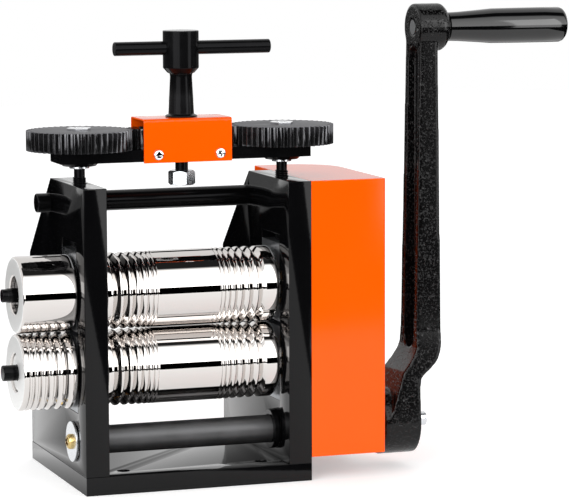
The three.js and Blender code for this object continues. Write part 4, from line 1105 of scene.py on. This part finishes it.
    spindle = turned("spindle", [
        (182.8, 0), (182.8, 3.9), (217.3, 3.9), (217.3, 7.7), (223.4, 7.7), (223.4, 10),
        (224.2, 9.6), (225, 7.8), (236, 7.25), (247.6, 6.65), (249.4, 6.9), (250, 8.2),
        (253, 10.9), (275.5, 10.9), (275.5, 0)], (0, AXIS_Y), "Z", 96, 0.5)
    carve(spindle, "DIFFERENCE", rod("way", -20, 20, TEE_RADIUS + 0.12, (AXIS_Y, TEE_Z)))
    piece("tee_spindle_body", spindle, "tee_handle", bar_oxide,
          ["tee_spindle"], sharp=35)
    tee = turned("tee", [(TEE_LEFT, 0), (TEE_LEFT, TEE_RADIUS), (TEE_RIGHT, TEE_RADIUS),
                         (TEE_RIGHT, 0)], (AXIS_Y, TEE_Z), "X", 64, 0.6)
    piece("tee_bar_body", tee, "tee_handle", bar_oxide, ["tee_bar"])
    nut = hexagon_prism("nut", 0, AXIS_Y, 14.4, 0.59, 181.8, 190.6)
    carve(nut, "INTERSECT", turned("round", [
        (181.8, 0), (181.8, 7.1), (183.0, 8.5), (189.4, 8.5), (190.6, 7.1), (190.6, 0)],
        (0, AXIS_Y), "Z", 64))
    carve(nut, "DIFFERENCE", rod("hole", 180, 192, 4.02, (0, AXIS_Y), "Z"))
    piece("spindle_nut_body", nut, "tee_handle", bright_zinc, ["spindle_nut"],
          edge=0.3)


def hexagon_prism(name, x, y, across, turn, foot, top):
    radius = across / math.sqrt(3)
    outline = [(x + radius * math.cos(turn + k * math.pi / 3),
                y + radius * math.sin(turn + k * math.pi / 3)) for k in range(6)]
    return prism(name, outline, "Z", foot, top)


def dress_kept_nodes():
    """CAD nodes whose shape is right keep it, and get a better finish."""
    kept = (
        (machined_steel, ["lower_block_left", "lower_block_right", "upper_block_left",
                          "upper_block_right", "lower_roll_gear", "upper_roll_gear",
                          "reduction_gear", "drive_pinion"]),
        (bush_bronze, ["shaft_bush_left", "shaft_bush_right", "lower_bush_left",
                       "lower_bush_right", "upper_bush_left", "upper_bush_right"]),
        (bright_zinc, [
            "base_screw_left_front", "base_screw_left_rear", "base_screw_right_front",
            "base_screw_right_rear", "lift_spring_left_front", "lift_spring_left_rear",
            "lift_spring_right_front", "lift_spring_right_rear", "cover_post_upper",
            "cover_post_lower"]),
    )
    for material, nodes in kept:
        for cad in nodes:
            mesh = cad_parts[cad].data
            mesh.materials.clear()
            mesh.materials.append(material)


# Studio
def build_studio():
    """White studio for the camera. Bare steel and enamel see a fuller room: a white front over
    a low black card, a dark band overhead, a white wall behind, a white screen at the left and
    a white sheet under the mill that ends in a dark floor."""
    world = bpy.data.worlds.new("studio")
    scene.world = world
    world.use_nodes = True
    tree = world.node_tree
    tree.nodes.clear()
    place = node(tree, "ShaderNodeTexCoord").outputs["Generated"]
    part = node(tree, "ShaderNodeSeparateXYZ", {0: place})
    ahead = node(tree, "ShaderNodeMath", {0: part.outputs[1], 1: -1.0}, operation="MULTIPLY")
    height = node(tree, "ShaderNodeMath", {0: part.outputs[2], 1: ahead.outputs[0]},
                  operation="ARCTAN2")
    span = node(tree, "ShaderNodeMapRange", {
        "Value": height.outputs[0], "From Min": -math.pi, "From Max": math.pi})
    ramp = node(tree, "ShaderNodeValToRGB", {0: span.outputs[0]})
    # Angle over the horizon from the front, level for every ray, more for gloss, more for matt
    stops = [(-180, 0.16, 0, 0), (-92, 0.16, 0, 0), (-88, 0.01, 0, 0), (-1.6, 0.01, 0, 0),
             (-0.8, 0.6, 1.0, 0), (35, 0.6, 0.8, 0), (60, 0.6, 0.5, 0), (67, 0.02, 0, 0.35),
             (93, 0.02, 0, 0.35), (96, 0.95, 0, 0), (180, 0.95, 0, 0)]
    bands = ramp.color_ramp.elements
    while len(bands) < len(stops):
        bands.new(0.5)
    for band, (angle, level, gloss, matt) in zip(bands, stops):
        band.position = (angle + 180) / 360
        band.color = (level, gloss, matt, 1)
    level = node(tree, "ShaderNodeSeparateColor", {0: ramp.outputs[0]})
    path = node(tree, "ShaderNodeLightPath")
    gloss = node(tree, "ShaderNodeMath", {0: path.outputs["Is Glossy Ray"], 1: GLOSS_GAIN},
                 operation="MULTIPLY")
    total = node(tree, "ShaderNodeMath", {0: level.outputs[1], 1: gloss.outputs[0],
                                          2: level.outputs[0]}, operation="MULTIPLY_ADD")
    total = node(tree, "ShaderNodeMath", {0: level.outputs[2],
                                          1: path.outputs["Is Diffuse Ray"],
                                          2: total.outputs[0]}, operation="MULTIPLY_ADD")
    # A white screen at the left, from the horizon up, lights the rolls' faced ends
    leftward = node(tree, "ShaderNodeMapRange", {
        "Value": part.outputs[0], "From Min": -0.3, "From Max": -0.42})
    raised = node(tree, "ShaderNodeMapRange", {
        "Value": part.outputs[2], "From Min": -0.01, "From Max": 0.01,
        "To Max": 1.05})
    screen = node(tree, "ShaderNodeMath", {0: leftward.outputs[0], 1: raised.outputs[0]},
                  operation="MULTIPLY")
    total = node(tree, "ShaderNodeMath", {0: total.outputs[0], 1: screen.outputs[0]},
                 operation="MAXIMUM")
    studio = node(tree, "ShaderNodeBackground", {"Color": (1, 1, 1, 1),
                                                 "Strength": total.outputs[0]})
    white = node(tree, "ShaderNodeBackground", {"Color": (1, 1, 1, 1), "Strength": 1.0})
    mixed = node(tree, "ShaderNodeMixShader", {0: path.outputs["Is Camera Ray"],
                                               1: studio.outputs[0], 2: white.outputs[0]})
    node(tree, "ShaderNodeOutputWorld", {0: mixed.outputs[0]})

    floor = block("floor", -3000, 3000, -3000, 3000, -12, 0)
    floor.data.transform(Matrix.Scale(MM, 4))
    material = bpy.data.materials.new("white_sheet")
    material.use_nodes = True
    tree = material.node_tree
    tree.nodes.clear()
    path = node(tree, "ShaderNodeLightPath")
    place = node(tree, "ShaderNodeTexCoord").outputs["Object"]
    part = node(tree, "ShaderNodeSeparateXYZ", {0: place})
    sheet = None
    for axis, sign, limit in ((1, 1.0, -0.64), (1, -1.0, -0.4), (0, 1.0, -0.55),
                              (0, -1.0, -0.55)):
        inward = node(tree, "ShaderNodeMath", {0: part.outputs[axis], 1: sign},
                      operation="MULTIPLY")
        inside = node(tree, "ShaderNodeMath", {0: inward.outputs[0], 1: limit},
                      operation="GREATER_THAN")
        if sheet:
            inside = node(tree, "ShaderNodeMath", {0: inside.outputs[0], 1: sheet.outputs[0]},
                          operation="MULTIPLY")
        sheet = inside
    unmirrored = node(tree, "ShaderNodeMath", {0: 1.0, 1: path.outputs["Is Glossy Ray"]},
                      operation="SUBTRACT")
    pale = node(tree, "ShaderNodeMath", {0: sheet.outputs[0], 1: unmirrored.outputs[0]},
                operation="MAXIMUM")
    seen = node(tree, "ShaderNodeMath", {0: sheet.outputs[0],
                                         1: path.outputs["Is Camera Ray"]},
                operation="MAXIMUM")
    glow = node(tree, "ShaderNodeMapRange", {
        "Value": path.outputs["Is Camera Ray"], "To Min": 0.62, "To Max": 0.36})
    glow = node(tree, "ShaderNodeMath", {0: seen.outputs[0], 1: glow.outputs[0]},
                operation="MULTIPLY")
    lamp = node(tree, "ShaderNodeEmission", {"Color": (1, 1, 1, 1),
                                             "Strength": glow.outputs[0]})
    shade = node(tree, "ShaderNodeMapRange", {
        "Value": path.outputs["Is Camera Ray"], "To Min": 0.6, "To Max": 0.95})
    shade = node(tree, "ShaderNodeMath", {0: pale.outputs[0], 1: shade.outputs[0]},
                 operation="MULTIPLY")
    colour = node(tree, "ShaderNodeCombineXYZ", {0: shade.outputs[0], 1: shade.outputs[0],
                                                 2: shade.outputs[0]})
    matt = node(tree, "ShaderNodeBsdfDiffuse", {"Color": colour.outputs[0]})
    both = node(tree, "ShaderNodeAddShader", {0: lamp.outputs[0], 1: matt.outputs[0]})
    node(tree, "ShaderNodeOutputMaterial", {0: both.outputs[0]})
    floor.data.materials.append(material)
    floor.name = "floor"

    # A low black card in front of the white draws the thin dark line along the rolls
    card = block("dark_card", -3000, 3000, -1255, -1250, 0, 285)
    card.data.transform(Matrix.Scale(MM, 4))
    black = bpy.data.materials.new("black_card")
    black.use_nodes = True
    tree = black.node_tree
    tree.nodes.clear()
    dark = node(tree, "ShaderNodeBsdfDiffuse", {"Color": (0, 0, 0, 1)})
    node(tree, "ShaderNodeOutputMaterial", {0: dark.outputs[0]})
    card.data.materials.append(black)
    card.name = "dark_card"
    card.visible_camera = False
    card.visible_diffuse = False
    card.visible_shadow = False

    # Two tall soft boxes give the upright edges and round posts their highlights
    for name, angle, wide, power in (("left_box", -45.0, 1.0, 8.5),
                                     ("right_box", 40.0, 0.42, 4.2)):
        lamp = bpy.data.lights.new(name, "AREA")
        lamp.shape = "RECTANGLE"
        lamp.size = wide
        lamp.size_y = LAMP_HEIGHT
        lamp.energy = power
        holder = bpy.data.objects.new(name, lamp)
        scene.collection.objects.link(holder)
        turn = math.radians(angle)
        back = Vector((math.sin(turn), -math.cos(turn), 0))
        spot = Vector((0, AXIS_Y * MM, LAMP_MIDDLE)) + LAMP_DISTANCE * back
        holder.matrix_world = (Matrix.Translation(spot)
                               @ back.to_track_quat("Z", "Y").to_matrix().to_4x4())


def build_camera():
    """The pinhole camera that was fitted to the photograph's outlines."""
    focal, width = 3019.58, 569
    across, up = -71.987, -137.632
    depth = 1889.275
    azimuth, elevation, roll = (math.radians(a) for a in (-19.1663, 6.9877, -0.2115))
    back = Vector((math.sin(azimuth) * math.cos(elevation),
                   -math.cos(azimuth) * math.cos(elevation), math.sin(elevation)))
    level = Vector((math.cos(azimuth), math.sin(azimuth), 0))
    above = back.cross(level)
    right = math.cos(roll) * level + math.sin(roll) * above
    top = -math.sin(roll) * level + math.cos(roll) * above
    spot = (-across * right - up * top + depth * back) * MM
    lens = bpy.data.cameras.new("camera")
    lens.sensor_fit = "HORIZONTAL"
    lens.sensor_width = 36.0
    lens.lens = 36.0 * focal / width
    lens.clip_start = 0.05
    lens.clip_end = 50.0
    holder = bpy.data.objects.new("camera", lens)
    scene.collection.objects.link(holder)
    turn = Matrix((right, top, back)).transposed().to_4x4()
    holder.matrix_world = Matrix.Translation(spot) @ turn
    scene.camera = holder


scene.view_settings.view_transform = "Standard"
build_camera()
build_studio()
build_frame_pieces()
build_rolls()
build_shaft()
build_crank()
build_cover()
build_adjuster()
dress_kept_nodes()
